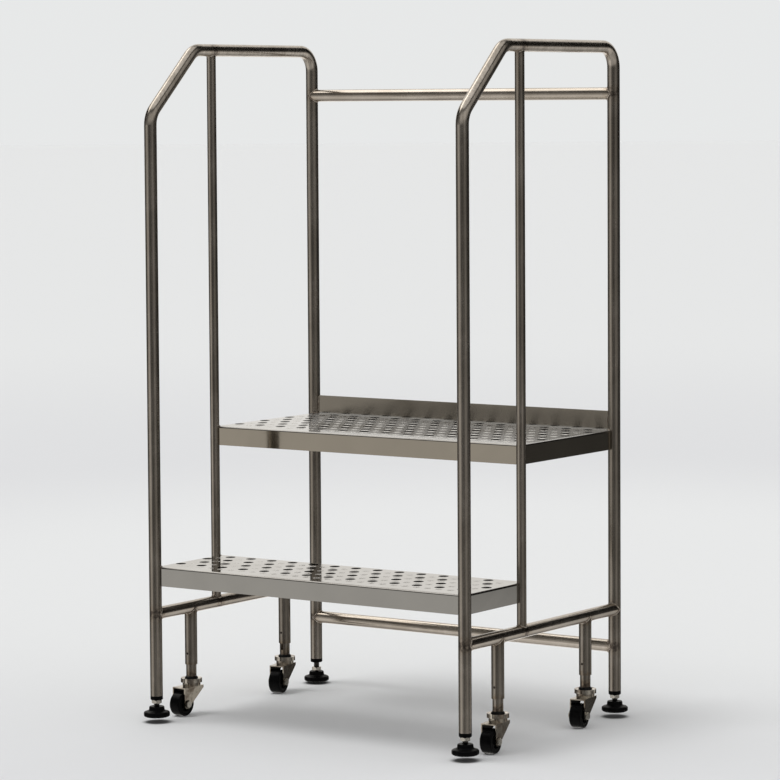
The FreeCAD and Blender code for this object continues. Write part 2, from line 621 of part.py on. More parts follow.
HALF_TYRE, HALF_BOSS = "wheel_width / 2", f"({FORK_GAP} / 2 - hub_side_gap)"
TREAD, SHOULDER = "wheel_diameter / 2", "(wheel_diameter / 2 - tyre_crown)"
HUB_RADIUS = "(wheel_diameter / 2 - tyre_thickness)"
tyre = turned("tyre", [
    (HUB_RADIUS, f"-{HALF_TYRE}"), (f"{SHOULDER} - tyre_corner", f"-{HALF_TYRE}"),
    (SHOULDER, f"tyre_corner - {HALF_TYRE}"), (TREAD, "-tyre_corner"), (TREAD, "tyre_corner"),
    (SHOULDER, f"{HALF_TYRE} - tyre_corner"), (f"{SHOULDER} - tyre_corner", HALF_TYRE),
    (HUB_RADIUS, HALF_TYRE)])
HUB_BORE, RIM_IN = "(axle_diameter / 2 + pivot_clearance)", f"({HUB_RADIUS} - hub_rim)"
hub = turned("hub", [
    (HUB_BORE, f"-{HALF_BOSS}"), ("hub_boss / 2", f"-{HALF_BOSS}"), ("hub_boss / 2", "-hub_web / 2"),
    (RIM_IN, "-hub_web / 2"), (RIM_IN, f"-{HALF_TYRE}"), (HUB_RADIUS, f"-{HALF_TYRE}"),
    (HUB_RADIUS, HALF_TYRE), (RIM_IN, HALF_TYRE), (RIM_IN, "hub_web / 2"),
    ("hub_boss / 2", "hub_web / 2"), ("hub_boss / 2", HALF_BOSS), (HUB_BORE, HALF_BOSS)])
for wheel_piece in (tyre, hub):
    wheel_piece.Placement = ALONG["X"]
    bind(wheel_piece, P_y="-wheel_trail", P_z=AXLE_HEIGHT)


# ---------------------------------------------------------------- levelling feet

STEM_BORE, TUBE_BORE = "(stem_diameter / 2 + thread_clearance)", "(tube_diameter / 2 - tube_wall)"
PLUG_LOW = "(leg_bottom - plug_flange)"
plug = turned("end_plug", [
    (STEM_BORE, PLUG_LOW), ("tube_diameter / 2 - plug_chamfer", PLUG_LOW),
    ("tube_diameter / 2", f"{PLUG_LOW} + plug_chamfer"),
    ("tube_diameter / 2", "leg_bottom"), (TUBE_BORE, "leg_bottom"),
    (TUBE_BORE, "leg_bottom + plug_insert"), (STEM_BORE, "leg_bottom + plug_insert")])


def foot(kind, gap, nut_low):
    """Pad, threaded stem with its ball, and jam nut, for a pad that stands gap above the floor."""
    socket = f"{gap} + ball_height"
    pad_top = f"{gap} + pad_height"
    rim, neck = "pad_diameter / 2", "pad_neck_diameter / 2"
    solid = turned(f"pad_solid_{kind}", [
        ("0", gap), (f"{rim} - pad_corner / 2", gap), (rim, f"{gap} + pad_corner / 2"),
        (rim, f"{gap} + pad_base - pad_corner"), (f"{rim} - pad_corner", f"{gap} + pad_base"),
        (f"{neck} + pad_corner", f"{gap} + pad_base"), (neck, f"{gap} + pad_base + pad_corner / 2"),
        (neck, f"{pad_top} - pad_corner / 2"), (f"{neck} - pad_corner / 2", pad_top), ("0", pad_top)])
    cavity = doc.addObject("Part::Sphere", f"pad_socket_{kind}")
    bind(cavity, Radius="ball_radius + ball_clearance", P_z=socket)
    mouth = cone(f"pad_mouth_{kind}", "stem_neck_diameter + 2 * pad_throat_gap",
                 "stem_neck_diameter + 2 * pad_mouth_gap", "pad_height - ball_height + tool_overrun",
                 socket)
    pad = cut(f"pad_{kind}", solid, cavity, mouth)

    ball = doc.addObject("Part::Sphere", f"stem_ball_{kind}")
    bind(ball, Radius="ball_radius", P_z=socket)
    bare_top = f"{pad_top} + neck_reach"
    bare = rod(f"stem_bare_{kind}", "stem_neck_diameter", f"pad_height - ball_height + neck_reach",
               z=socket)
    screw = rod(f"stem_screw_{kind}", "stem_diameter", f"leg_bottom + stem_inside - ({bare_top})",
                z=bare_top)
    stem = fuse(f"stem_{kind}", ball, bare, screw)

    hexagon = doc.addObject("Part::Prism", f"nut_hexagon_{kind}")
    hexagon.Polygon = 6
    bind(hexagon, Circumradius="nut_across_flats / sqrt(3)", Height="nut_thickness", P_z=nut_low)
    flat, corner = "nut_across_flats / 2", "nut_across_flats / sqrt(3)"
    high = f"{nut_low} + nut_thickness"
    bevel = turned(f"nut_bevel_{kind}", [
        (STEM_BORE, nut_low), (flat, nut_low), (corner, f"{nut_low} + nut_bevel"),
        (corner, f"{high} - nut_bevel"), (flat, high), (STEM_BORE, high)])
    nut = doc.addObject("Part::Common", f"nut_{kind}")
    nut.Base, nut.Tool = hexagon, bevel
    return {"foot_pad": pad, "foot_stem": stem, "jam_nut": nut}


HIGH_NUT = f"{PLUG_LOW} - nut_seat_gap - nut_thickness"
FEET = {"usual": foot("usual", "foot_gap", HIGH_NUT),
        "long": foot("long", "long_foot_gap", "long_foot_gap + pad_height + low_nut_gap")}


# ---------------------------------------------------------------- the four corners

CASTER_PIECES = {"swivel_ring": ring, "kingpin": kingpin, "caster_fork": fork, "wheel_axle": axle,
                 "wheel_tyre": tyre, "wheel_hub": hub}
CORNERS = (
    ("front_left", LEFT, FRONT, f"{FRONT} + caster_inset"),
    ("rear_left", LEFT, BACK, f"{BACK} - caster_inset"),
    ("front_right", RIGHT, FRONT, f"{FRONT} + caster_inset"),
    ("rear_right", RIGHT, BACK, f"{BACK} - caster_inset"),
)
pins, plugs = [], []
for corner, x, leg_y, caster_y in CORNERS:
    unusual = corner == "rear_left"
    node(copy_to(sleeve, f"sleeve_{corner}", x, caster_y), f"caster_sleeve_{corner}")
    node(copy_to(plunger_open if unusual else plunger, f"plunger_at_{corner}", x, caster_y),
         f"plunger_{corner}")
    node(copy_to(spring, f"spring_at_{corner}", x, caster_y), f"plunger_spring_{corner}")
    for label, piece in CASTER_PIECES.items():
        node(copy_to(piece, f"{label}_at_{corner}", x, caster_y, turn=f"turn_{corner}"),
             f"{label}_{corner}")
    for label, piece in FEET["long" if unusual else "usual"].items():
        node(copy_to(piece, f"{label}_at_{corner}", x, leg_y), f"{label}_{corner}")
    pins.append(copy_to(pin, f"pin_at_{corner}", x, caster_y))
    plugs.append(copy_to(plug, f"plug_at_{corner}", x, leg_y))

for label, group in (("sleeve_cross_pins", pins), ("leg_end_plugs", plugs)):
    together = doc.addObject("Part::Compound", f"{label}_group")
    together.Links = group
    node(together, label)


# ---------------------------------------------------------------- checks and export

doc.recompute()
for thing in doc.Objects:
    if "Invalid" in thing.State or "Error" in thing.State:
        raise RuntimeError(f"{thing.Name} did not compute: {thing.State}")
for label, thing in NODES.items():
    if thing.Shape.isNull() or not thing.Shape.isValid() or not thing.Shape.Solids:
        raise RuntimeError(f"{label} has no valid solid")
for label, thing in NODES.items():
    thing.Shape.exportStep(os.path.join("parts", f"{label}.step"))
    print(f"{label}: {len(thing.Shape.Solids)} solid(s), {thing.Shape.Volume / 1000:.2f} cm3")
print(len(NODES), "nodes")
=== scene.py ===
import json
import math
import random

import bpy
from mathutils import Matrix, Vector


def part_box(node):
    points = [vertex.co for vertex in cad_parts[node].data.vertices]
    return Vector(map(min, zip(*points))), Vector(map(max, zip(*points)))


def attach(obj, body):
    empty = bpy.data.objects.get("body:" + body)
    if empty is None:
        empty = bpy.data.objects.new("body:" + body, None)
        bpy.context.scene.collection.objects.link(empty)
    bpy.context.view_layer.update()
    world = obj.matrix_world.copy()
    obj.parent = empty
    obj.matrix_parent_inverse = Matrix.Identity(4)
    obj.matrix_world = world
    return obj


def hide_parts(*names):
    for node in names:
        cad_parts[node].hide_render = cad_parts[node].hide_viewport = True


# Looks for the two-step mobile work platform.  Metres, in the CAD's own frame:
# +X right, +Y the way a user climbs, +Z up, floor at z = 0.

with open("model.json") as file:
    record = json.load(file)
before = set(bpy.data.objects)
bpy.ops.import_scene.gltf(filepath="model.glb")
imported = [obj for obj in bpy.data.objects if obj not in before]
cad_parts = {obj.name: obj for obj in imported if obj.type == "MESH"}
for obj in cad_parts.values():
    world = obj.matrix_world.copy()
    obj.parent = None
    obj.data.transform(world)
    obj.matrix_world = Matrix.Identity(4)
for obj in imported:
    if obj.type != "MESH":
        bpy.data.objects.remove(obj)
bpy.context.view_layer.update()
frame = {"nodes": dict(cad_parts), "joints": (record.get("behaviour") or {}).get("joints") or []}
NODES, JOINTS = frame["nodes"], {joint["name"]: joint for joint in frame["joints"]}
CORNERS = ("front_left", "rear_left", "front_right", "rear_right")
SIDES = ("left", "right")
FRAME_BODY = "platform"
TUBE_RADIUS = (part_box("lower_cross_rail")[1].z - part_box("lower_cross_rail")[0].z) / 2
POST_RADIUS = (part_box("mid_post_left")[1].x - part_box("mid_post_left")[0].x) / 2
rng = random.Random(7)


def middle(node):
    low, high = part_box(node)
    return (low + high) / 2


def tyre_half_width():
    """Half the tyre's width, measured along its own axle."""
    spin = JOINTS["wheel_spin_front_left"]
    axle, place = Vector(spin["axis"]), Vector(spin["pos_m"])
    vertices = NODES["wheel_tyre_front_left"].data.vertices
    return round(max((vertex.co - place).dot(axle) for vertex in vertices), 5)


def upper_tread_top():
    """The standing face of the upper tread, without the toe board behind it."""
    middle_y, reach = POST_Y + 0.08, 0.04
    vertices = NODES["upper_tread"].data.vertices
    return max(vertex.co.z for vertex in vertices if abs(vertex.co.y - middle_y) < reach)


HALF_WIDTH = tyre_half_width()
# The fork: space between its cheeks, sheet thickness, height of the race on its crown,
# and the radius of the ring of painted shade round the bolt head.
FORK_GAP, FORK_SHEET, RACE_HEIGHT = 2 * HALF_WIDTH + 0.003, 0.0025, 0.0067
BOLT_SHADOW = 0.0084


LEG_X = {side: middle(f"side_frame_{side}").x for side in SIDES}
FRONT_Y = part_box("side_frame_left")[0].y + TUBE_RADIUS
BACK_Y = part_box("side_frame_left")[1].y - TUBE_RADIUS
POST_Y = middle("mid_post_left").y
HANDRAIL_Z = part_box("side_frame_left")[1].z - TUBE_RADIUS
SIDE_RAIL_Z = middle("side_rail_left").z
CROSS_Z = {name: middle(name).z for name in ("lower_cross_rail", "upper_cross_rail")}
TREAD_TOP = {"lower_tread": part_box("lower_tread")[1].z, "upper_tread": upper_tread_top()}


# ------------------------------------------------------------------ materials

class Graph:
    """A small builder for procedural materials on one Principled shader."""

    def __init__(self, name, colour, metallic, roughness, **constants):
        self.material = bpy.data.materials.new(name)
        self.material.use_nodes = True
        self.tree = self.material.node_tree
        self.tree.nodes.clear()
        self.shader = self.add("ShaderNodeBsdfPrincipled")
        output = self.add("ShaderNodeOutputMaterial")
        self.join(self.shader.outputs["BSDF"], output.inputs["Surface"])
        self.place = self.add("ShaderNodeTexCoord").outputs["Object"]
        self.shader.inputs["Base Color"].default_value = (*colour, 1)
        self.shader.inputs["Metallic"].default_value = metallic
        self.shader.inputs["Roughness"].default_value = roughness
        for socket, number in constants.items():
            self.shader.inputs[socket.replace("_", " ")].default_value = number

    def add(self, kind, **settings):
        made = self.tree.nodes.new(kind)
        for key, setting in settings.items():
            setattr(made, key, setting)
        return made

    def join(self, source, target):
        self.tree.links.new(source, target)

    def feed(self, socket, source):
        """Put a number, colour or another node's output into a socket."""
        if isinstance(source, bpy.types.NodeSocket):
            self.join(source, socket)
        else:
            socket.default_value = source

    def math(self, operation, first, second=0.0, clamp=False):
        made = self.add("ShaderNodeMath", operation=operation, use_clamp=clamp)
        self.feed(made.inputs[0], first)
        self.feed(made.inputs[1], second)
        return made.outputs[0]

    def noise(self, cells, detail=3.0, rough=0.55, warp=0.0):
        """Noise from 0 to 1 with a number of cells per metre along x, y and z."""
        mapping = self.add("ShaderNodeMapping")
        mapping.inputs["Scale"].default_value = cells
        self.join(self.place, mapping.inputs["Vector"])
        made = self.add("ShaderNodeTexNoise")
        made.inputs["Scale"].default_value = 1.0
        made.inputs["Detail"].default_value = detail
        made.inputs["Roughness"].default_value = rough
        made.inputs["Distortion"].default_value = warp
        self.join(mapping.outputs["Vector"], made.inputs["Vector"])
        return made.outputs["Fac"]

    def span(self, source, low, high, to_low=0.0, to_high=1.0, smooth=False):
        made = self.add("ShaderNodeMapRange", clamp=True)
        made.interpolation_type = "SMOOTHSTEP" if smooth else "LINEAR"
        for index, setting in enumerate((source, low, high, to_low, to_high)):
            self.feed(made.inputs[index], setting)
        return made.outputs["Result"]

    def blend(self, share, first, second, kind="MIX"):
        made = self.add("ShaderNodeMix", data_type="RGBA", blend_type=kind)
        self.feed(made.inputs["Factor"], share)
        for name, setting in (("A", first), ("B", second)):
            socket = next(s for s in made.inputs if s.name == name and s.type == "RGBA")
            self.feed(socket, setting if isinstance(setting, bpy.types.NodeSocket) else (*setting, 1))
        return next(s for s in made.outputs if s.type == "RGBA")

    def axis(self, name):
        made = self.add("ShaderNodeSeparateXYZ")
        self.join(self.place, made.inputs[0])
        return made.outputs[name]

    def nearest(self, points):
        """Distance in metres from here to the nearest of a few points."""
        best = None
        for point in points:
            made = self.add("ShaderNodeVectorMath", operation="DISTANCE")
            self.join(self.place, made.inputs[0])
            made.inputs[1].default_value = point
            found = made.outputs["Value"]
            best = found if best is None else self.math("MINIMUM", best, found)
        return best

    def colour(self, source):
        self.join(source, self.shader.inputs["Base Color"])

    def roughness(self, source):
        self.join(source, self.shader.inputs["Roughness"])

    def bump(self, height, strength, depth):
        made = self.add("ShaderNodeBump")
        made.inputs["Strength"].default_value = strength
        made.inputs["Distance"].default_value = depth
        self.join(height, made.inputs["Height"])
        self.join(made.outputs["Normal"], self.shader.inputs["Normal"])


# Grain cells per metre: fine across the tube, long along it.
ALONG_Z, ALONG_Y, ALONG_X = (900, 900, 9), (900, 9, 900), (9, 900, 900)


def coarse(cells, share):
    return tuple(cell * share for cell in cells)


def satin_tube(name, grain_cells, joints, shade=1.0, tint=0.3):
    """Satin stainless tube: lengthwise grain, soft stains, heat tint round each joint."""
    pale, mid, deep = (tuple(part * shade for part in colour) for colour in
                       ((0.54, 0.49, 0.435), (0.42, 0.375, 0.325), (0.26, 0.23, 0.19)))
    made = Graph(name, mid, 1.0, 0.2)
    grain = made.noise(grain_cells, detail=4)
    streak = made.noise(coarse(grain_cells, 0.22), detail=2)
    stain = made.noise((13, 13, 8), detail=4, warp=0.6)
    steel = made.blend(made.span(stain, 0.36, 0.64), mid, pale)
    steel = made.blend(made.span(streak, 0.38, 0.66, 0.0, 0.55), steel, deep)
    distance = made.nearest(joints)
    ragged = made.math("ADD", distance, made.span(made.noise((160, 160, 160)), 0.3, 0.7, -0.005, 0.005))
    straw = made.span(ragged, TUBE_RADIUS + 0.001, TUBE_RADIUS + 0.014, tint, 0.0, smooth=True)
    steel = made.blend(straw, steel, (0.26, 0.19, 0.12))
    dark = made.span(ragged, TUBE_RADIUS - 0.002, TUBE_RADIUS + 0.004, 0.7, 0.0, smooth=True)
    steel = made.blend(dark, steel, (0.07, 0.055, 0.05))
    made.colour(steel)
    made.roughness(made.math("ADD", made.span(grain, 0.3, 0.7, 0.13, 0.24),
                             made.span(stain, 0.3, 0.7, 0.0, 0.06)))
    made.bump(grain, 0.14, 0.0003)
    return made.material


def leg_foot_points(side):
    x = LEG_X[side]
    points = [(x, y, SIDE_RAIL_Z) for y in (FRONT_Y, BACK_Y)]
    points += [(x, BACK_Y, z) for z in CROSS_Z.values()]
    points += [(x, POST_Y, HANDRAIL_Z)]
    return points


def rail_points(side):
    x = LEG_X[side]
    points = [(x, y, SIDE_RAIL_Z) for y in (FRONT_Y, POST_Y, BACK_Y)]
    points += [(x, middle(f"caster_sleeve_{end}_{side}").y, SIDE_RAIL_Z - TUBE_RADIUS)
               for end in ("front", "rear")]
    return points


def folded_sheet(name, flange, board, worn):
    """Bright perforated sheet: nearly a mirror, with rolling lines and haze, its top scuffed by feet."""
    made = Graph(f"{name}_steel", (0.56, 0.55, 0.53), 1.0, 0.1)
    roll = made.noise((6, 700, 700), detail=3)
    haze = made.noise((9, 9, 9), detail=4, warp=0.8)
    scratch = made.noise((40, 1100, 40), detail=2, warp=1.4)
    steel = made.blend(made.span(haze, 0.35, 0.65), (0.50, 0.485, 0.455), (0.62, 0.61, 0.59))
    steel = made.blend(made.span(scratch, 0.66, 0.72, 0.0, 0.35), steel, (0.78, 0.77, 0.75))
    height, top = made.axis("Z"), TREAD_TOP[name]
    bend = 0.0035
    # Below the bend the flanges, then a painted shade line along the bend, then the toe board above;
    # flanges and toe board take their own colours, which are painted reflection and painted shade.
    steel = made.blend(made.span(height, top - bend, top - bend / 2, 1.0, 0.0), steel,
                       made.blend(haze, flange, tuple(part * 0.84 for part in flange)))
    # Painted shade along the rounded corner of the bend.
    painted_bend_shade = made.math("MULTIPLY", made.span(height, top - bend, top - bend * 0.75),
                          made.span(height, top - 0.0006, top - 0.0001, 1.0, 0.0))
    steel = made.blend(made.math("MULTIPLY", painted_bend_shade, 0.85), steel, (0.13, 0.125, 0.12))
    steel = made.blend(made.span(height, top + bend / 3, top + bend), steel,
                       made.blend(haze, board, tuple(part * 0.84 for part in board)))
    made.colour(steel)
    top_face = made.math("MULTIPLY", made.math("GREATER_THAN", height, top - 0.0002),
                         made.math("LESS_THAN", height, top + 0.0002))
    made.join(made.span(top_face, 0, 1, 1.0, 1.0 - worn), made.shader.inputs["Metallic"])
    board_haze = made.span(height, top + bend / 3, top + bend, 0.0, 0.09)
    sheet_haze = made.math("ADD", made.span(roll, 0.3, 0.7, 0.04, 0.09),
                           made.span(haze, 0.3, 0.7, -0.01, 0.04))
    made.roughness(made.math("ADD", board_haze, sheet_haze))
    made.bump(roll, 0.015, 0.0002)
    return made.material


def bright_plate(name, colour=(0.74, 0.69, 0.61), rough=0.13, painted_shade=None):
    """Nickel-plated pressing: wavy, mottled and specked; the optional mask function, called with the graph,
    marks faces painted near black as shade.
    """
    made = Graph(name, colour, 1.0, rough)
    wave = made.noise((60, 60, 60), detail=3)
    speck = made.noise((700, 700, 700), detail=2)
    plate = made.blend(made.span(wave, 0.42, 0.62, 0.0, 0.8), colour, (0.20, 0.15, 0.11))
    plate = made.blend(made.span(speck, 0.64, 0.74, 0.0, 0.5), plate, (0.12, 0.10, 0.08))
    if painted_shade:
        # Painted shade: the masked faces go near black.
        plate = made.blend(painted_shade(made), plate, (0.006, 0.005, 0.005))
    made.colour(plate)
    made.roughness(made.span(wave, 0.3, 0.7, rough - 0.03, rough + 0.09))
    made.bump(wave, 0.25, 0.0008)
    return made.material


def fork_painted_shade(corner):
    """Painted shade: a mask for the faces between the cheeks and under the crown, and for a ring round the
    bolt head, from the wheel's own place.
    """
    joint = JOINTS[f"wheel_spin_{corner}"]
    under_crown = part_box(f"caster_fork_{corner}")[1].z - RACE_HEIGHT - FORK_SHEET

    def mask(made):
        away = made.add("ShaderNodeVectorMath", operation="SUBTRACT")
        made.join(made.place, away.inputs[0])
        away.inputs[1].default_value = joint["pos_m"]
        across = made.add("ShaderNodeVectorMath", operation="DOT_PRODUCT")
        made.join(away.outputs["Vector"], across.inputs[0])
        across.inputs[1].default_value = joint["axis"]
        aside = made.math("ABSOLUTE", across.outputs["Value"])
        narrow = made.math("LESS_THAN", aside, FORK_GAP / 2 + 0.0003)
        inner = made.math("MULTIPLY", narrow, made.math("LESS_THAN", made.axis("Z"), under_crown + 0.0004))
        square = made.add("ShaderNodeVectorMath", operation="DOT_PRODUCT")
        made.join(away.outputs["Vector"], square.inputs[0])
        made.join(away.outputs["Vector"], square.inputs[1])
        radius = made.math("SQRT", made.math("SUBTRACT", square.outputs["Value"],
                                             made.math("POWER", aside, 2.0)))
        return made.math("MAXIMUM", inner, made.math("LESS_THAN", radius, BOLT_SHADOW))
    return mask


def black_moulding(name, level=0.0018, rough=0.42, cells=1300, specular=0.06):
    """Moulded black plastic or rubber: fine grain, dull scuffs, a little dust where it looks up."""
    made = Graph(name, (level, level, level * 1.06), 0.0, rough, Specular_IOR_Level=specular)
    grain = made.noise((cells, cells, cells), detail=2)
    scuff = made.noise((70, 70, 70), detail=5, warp=1.0)
    upward = made.add("ShaderNodeNewGeometry")
    tilt = made.add("ShaderNodeSeparateXYZ")
    made.join(upward.outputs["Normal"], tilt.inputs[0])
    dust = made.math("MULTIPLY", made.span(tilt.outputs["Z"], 0.5, 1.0, 0.0, 0.05),
                     made.span(scuff, 0.5, 0.8))
    black = made.blend(made.span(scuff, 0.55, 0.75, 0.0, 0.6), (level, level, level * 1.06),
                       (level * 2.4, level * 2.3, level * 2.4))
    made.colour(made.blend(dust, black, (0.10, 0.095, 0.09)))
    made.roughness(made.span(scuff, 0.35, 0.7, rough - 0.1, rough + 0.16))
    made.bump(grain, 0.1, 0.0003)
    return made.material


def weld_metal():
    made = Graph("weld_bead_metal", (0.42, 0.38, 0.33), 1.0, 0.38)
    heat = made.noise((260, 260, 260), detail=3, warp=0.5)
    bead = made.blend(made.span(heat, 0.38, 0.62), (0.20, 0.15, 0.12), (0.66, 0.61, 0.54))
    bead = made.blend(made.span(heat, 0.62, 0.72, 0.0, 0.5), bead, (0.20, 0.22, 0.32))
    made.colour(bead)
    made.roughness(made.span(heat, 0.3, 0.7, 0.28, 0.5))
    made.bump(made.noise((1500, 1500, 1500)), 0.2, 0.0004)
    return made.material


def plain_steel(name, colour, rough, cells):
    """Zinc-plated or oiled steel with turning marks and small stains."""
    made = Graph(name, colour, 1.0, rough)
    mark = made.noise(cells, detail=3)
    stain = made.noise((150, 150, 150), detail=3, warp=0.7)
    steel = made.blend(made.span(stain, 0.4, 0.7, 0.0, 0.7), colour, tuple(part * 0.5 for part in colour))
    made.colour(steel)
    made.roughness(made.span(mark, 0.3, 0.7, rough - 0.07, rough + 0.1))
    made.bump(mark, 0.15, 0.0003)
    return made.material


def shared_materials():
    rail_ends = [(x, BACK_Y, z) for x in LEG_X.values() for z in CROSS_Z.values()]
    made = {
        # The flange and toe board colours are painted reflection and shade: on the upper tread a warmer
        # flange and a darker toe board.
        "lower_tread": folded_sheet("lower_tread", (0.53, 0.52, 0.495), (0.5, 0.5, 0.5), worn=0.0),
        "upper_tread": folded_sheet("upper_tread", (0.50, 0.455, 0.385), (0.34, 0.31, 0.265), worn=0.55),
        "plate": bright_plate("nickel_plate"),
        "plastic": black_moulding("black_nylon", 0.0018, 0.36),
        "tyre": black_moulding("black_wheel_rubber", 0.0022, 0.3, 2200, 0.05),
        "weld": weld_metal(),
        "zinc": plain_steel("zinc_fastener", (0.66, 0.63, 0.57), 0.27, (500, 500, 60)),
        "screw": plain_steel("black_oxide_screw", (0.10, 0.095, 0.09), 0.34, (300, 300, 900)),
        "dark_pin": plain_steel("oiled_pin", (0.06, 0.05, 0.045), 0.45, (600, 60, 600)),
        "spring": plain_steel("spring_wire_steel", (0.30, 0.29, 0.28), 0.3, (900, 900, 900)),
        "grease": black_moulding("greased_collar", 0.004, 0.28, 900, 0.15),
        "cross": satin_tube("cross_rail_steel", ALONG_X, rail_ends),
    }
    for side in SIDES:
        made[f"frame_{side}"] = satin_tube(f"side_frame_steel_{side}", ALONG_Z, leg_foot_points(side))
        made[f"rail_{side}"] = satin_tube(f"side_rail_steel_{side}", ALONG_Y, rail_points(side))
        x = LEG_X[side]
        made[f"post_{side}"] = satin_tube(f"mid_post_steel_{side}", ALONG_Z,
                                          [(x, POST_Y, SIDE_RAIL_Z), (x, POST_Y, HANDRAIL_Z)])
    for corner in CORNERS:
        spot, sleeve_low = middle(f"caster_sleeve_{corner}"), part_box(f"caster_sleeve_{corner}")[0].z
        made[f"fork_{corner}"] = bright_plate(f"nickel_fork_{corner}", (0.60, 0.55, 0.47), 0.12,
                                              fork_painted_shade(corner))
        ends = [(spot.x, spot.y, SIDE_RAIL_Z), (spot.x, spot.y, sleeve_low - 0.01)]
        made[f"sleeve_{corner}"] = satin_tube(f"sleeve_steel_{corner}", ALONG_Z, ends, shade=0.82, tint=0.6)
        made[f"plunger_{corner}"] = satin_tube(f"plunger_steel_{corner}", ALONG_Z,
                                               [(spot.x, spot.y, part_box(f"plunger_{corner}")[0].z)],
                                               shade=0.8, tint=0.6)
    return made


MATERIALS = shared_materials()


def paint(thing, material):
    thing.data.materials.clear()
    thing.data.materials.append(material)


def paint_frame():
    for name in ("lower_tread", "upper_tread"):
        paint(NODES[name], MATERIALS[name])
    for name in CROSS_Z:
        paint(NODES[name], MATERIALS["cross"])
    for side in SIDES:
        paint(NODES[f"side_frame_{side}"], MATERIALS[f"frame_{side}"])
        paint(NODES[f"side_rail_{side}"], MATERIALS[f"rail_{side}"])
        paint(NODES[f"mid_post_{side}"], MATERIALS[f"post_{side}"])
    paint(NODES["sleeve_cross_pins"], MATERIALS["dark_pin"])
    paint(NODES["leg_end_plugs"], MATERIALS["plastic"])
    finishes = {"plunger_spring": "spring", "swivel_ring": "plate", "kingpin": "zinc",
                "wheel_axle": "zinc", "wheel_tyre": "tyre", "wheel_hub": "plastic",
                "foot_pad": "plastic", "foot_stem": "screw", "jam_nut": "zinc"}
    for corner in CORNERS:
        paint(NODES[f"caster_sleeve_{corner}"], MATERIALS[f"sleeve_{corner}"])
        paint(NODES[f"plunger_{corner}"], MATERIALS[f"plunger_{corner}"])
        paint(NODES[f"caster_fork_{corner}"], MATERIALS[f"fork_{corner}"])
        for part, finish in finishes.items():
            paint(NODES[f"{part}_{corner}"], MATERIALS[finish])


paint_frame()


def soften(thing, width, segments=2):
    """Small rounded edges that catch the light."""
    made = thing.modifiers.new("edge_round", "BEVEL")
    made.width = width
    made.segments = segments
    made.limit_method = "ANGLE"
    made.angle_limit = math.radians(40)
    made.harden_normals = False


for corner in CORNERS:
    soften(NODES[f"caster_fork_{corner}"], 0.0007)
    soften(NODES[f"swivel_ring_{corner}"], 0.0018, 4)
    soften(NODES[f"wheel_axle_{corner}"], 0.0013, 3)


# ------------------------------------------------------------------ mesh pieces

def make_mesh(name, points, faces, material, body):
    mesh = bpy.data.meshes.new(name)
    mesh.from_pydata([tuple(point) for point in points], [], faces)
    mesh.validate()
    mesh.update()
    piece = bpy.data.objects.new(name, mesh)
    bpy.context.scene.collection.objects.link(piece)
    for face in mesh.polygons:
        face.use_smooth = True
    paint(piece, material)
    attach(piece, body)
    return piece


def keep_sharp(piece, degrees=35):
    piece.data.set_sharp_from_angle(angle=math.radians(degrees))


def ring_faces(rings, around, closed, start=0):
    """Quads between neighbouring rings of points; closed joins the last ring to the first."""
    faces = []
    for ring in range(rings if closed else rings - 1):
        a, b = start + ring * around, start + (ring + 1) % rings * around
        faces += [(a + i, a + (i + 1) % around, b + (i + 1) % around, b + i) for i in range(around)]
    return faces


def lathe(profile, place, around=72):
    """Points and faces of a closed turned ring about Z, profile [(radius, height)], moved to place."""
    points = []
    for radius, height in profile:
        for angle in arc_points(around):
            points.append(place @ Vector((radius * math.cos(angle), radius * math.sin(angle), height)))
    return points, ring_faces(len(profile), around, True)


def rounded(profile, radius, steps=4):
    """A closed profile with each corner rounded, by at most half of its shorter side."""
    made = []
    for index, here in enumerate(profile):
        here, before = Vector(here), Vector(profile[index - 1])
        after = Vector(profile[(index + 1) % len(profile)])
        reach = min(radius, (before - here).length * 0.45, (after - here).length * 0.45)
        first = here + (before - here).normalized() * reach
        last = here + (after - here).normalized() * reach
        for step in range(steps + 1):
            t = step / steps
            made.append(tuple(first * (1 - t) ** 2 + here * 2 * t * (1 - t) + last * t ** 2))
    return made


def bead(name, path, size, up, body=FRAME_BODY, closed=True):
    """A weld bead along a path: overlapping scales, slightly uneven, half sunk in the metal."""
    around = 8
    points = []
    count = len(path)
    for index, spot in enumerate(path):
        ahead = path[(index + 1) % count] if closed else path[min(index + 1, count - 1)]
        behind = path[index - 1] if closed else path[max(index - 1, 0)]
        along = (ahead - behind).normalized()
        side = along.cross(up(spot)).normalized()
        out = side.cross(along).normalized()
        ripple = 0.80 + 0.26 * abs(math.sin(index * math.pi / 5)) + rng.uniform(-0.06, 0.06)
        if not closed:
            ripple *= 0.35 + 0.65 * math.sin(math.pi * (index + 0.5) / count) ** 0.35
        for step in range(around):
            angle = 2 * math.pi * step / around
            points.append(spot + (side * math.cos(angle) + out * math.sin(angle)) * size * ripple)
    faces = ring_faces(count, around, closed)
    if not closed:
        faces += [tuple(reversed(range(around))), tuple(range((count - 1) * around, count * around))]
    return make_mesh(name, points, faces, MATERIALS["weld"], body)


def arc_points(count, first=0.0, turn=2 * math.pi):
    return [first + turn * step / count for step in range(count)]


def saddle(centre, across, run, branch_radius, main_radius, count=120):
    """Where a branch tube along `run` meets the skin of a main tube that lies along across x run."""
    third = across.cross(run)
    path = []
    for angle in arc_points(count):
        sideways, other = branch_radius * math.cos(angle), branch_radius * math.sin(angle)
        depth = math.sqrt(max(main_radius ** 2 - sideways ** 2, 0.0))
        path.append(centre + across * sideways + third * other + run * (depth + 0.0004))
    return path


X, Y, Z = Vector((1, 0, 0)), Vector((0, 1, 0)), Vector((0, 0, 1))
BEAD, POST_BEAD, TREAD_BEAD, BOARD_BEAD = 0.0017, 0.0014, 0.0013, 0.0012


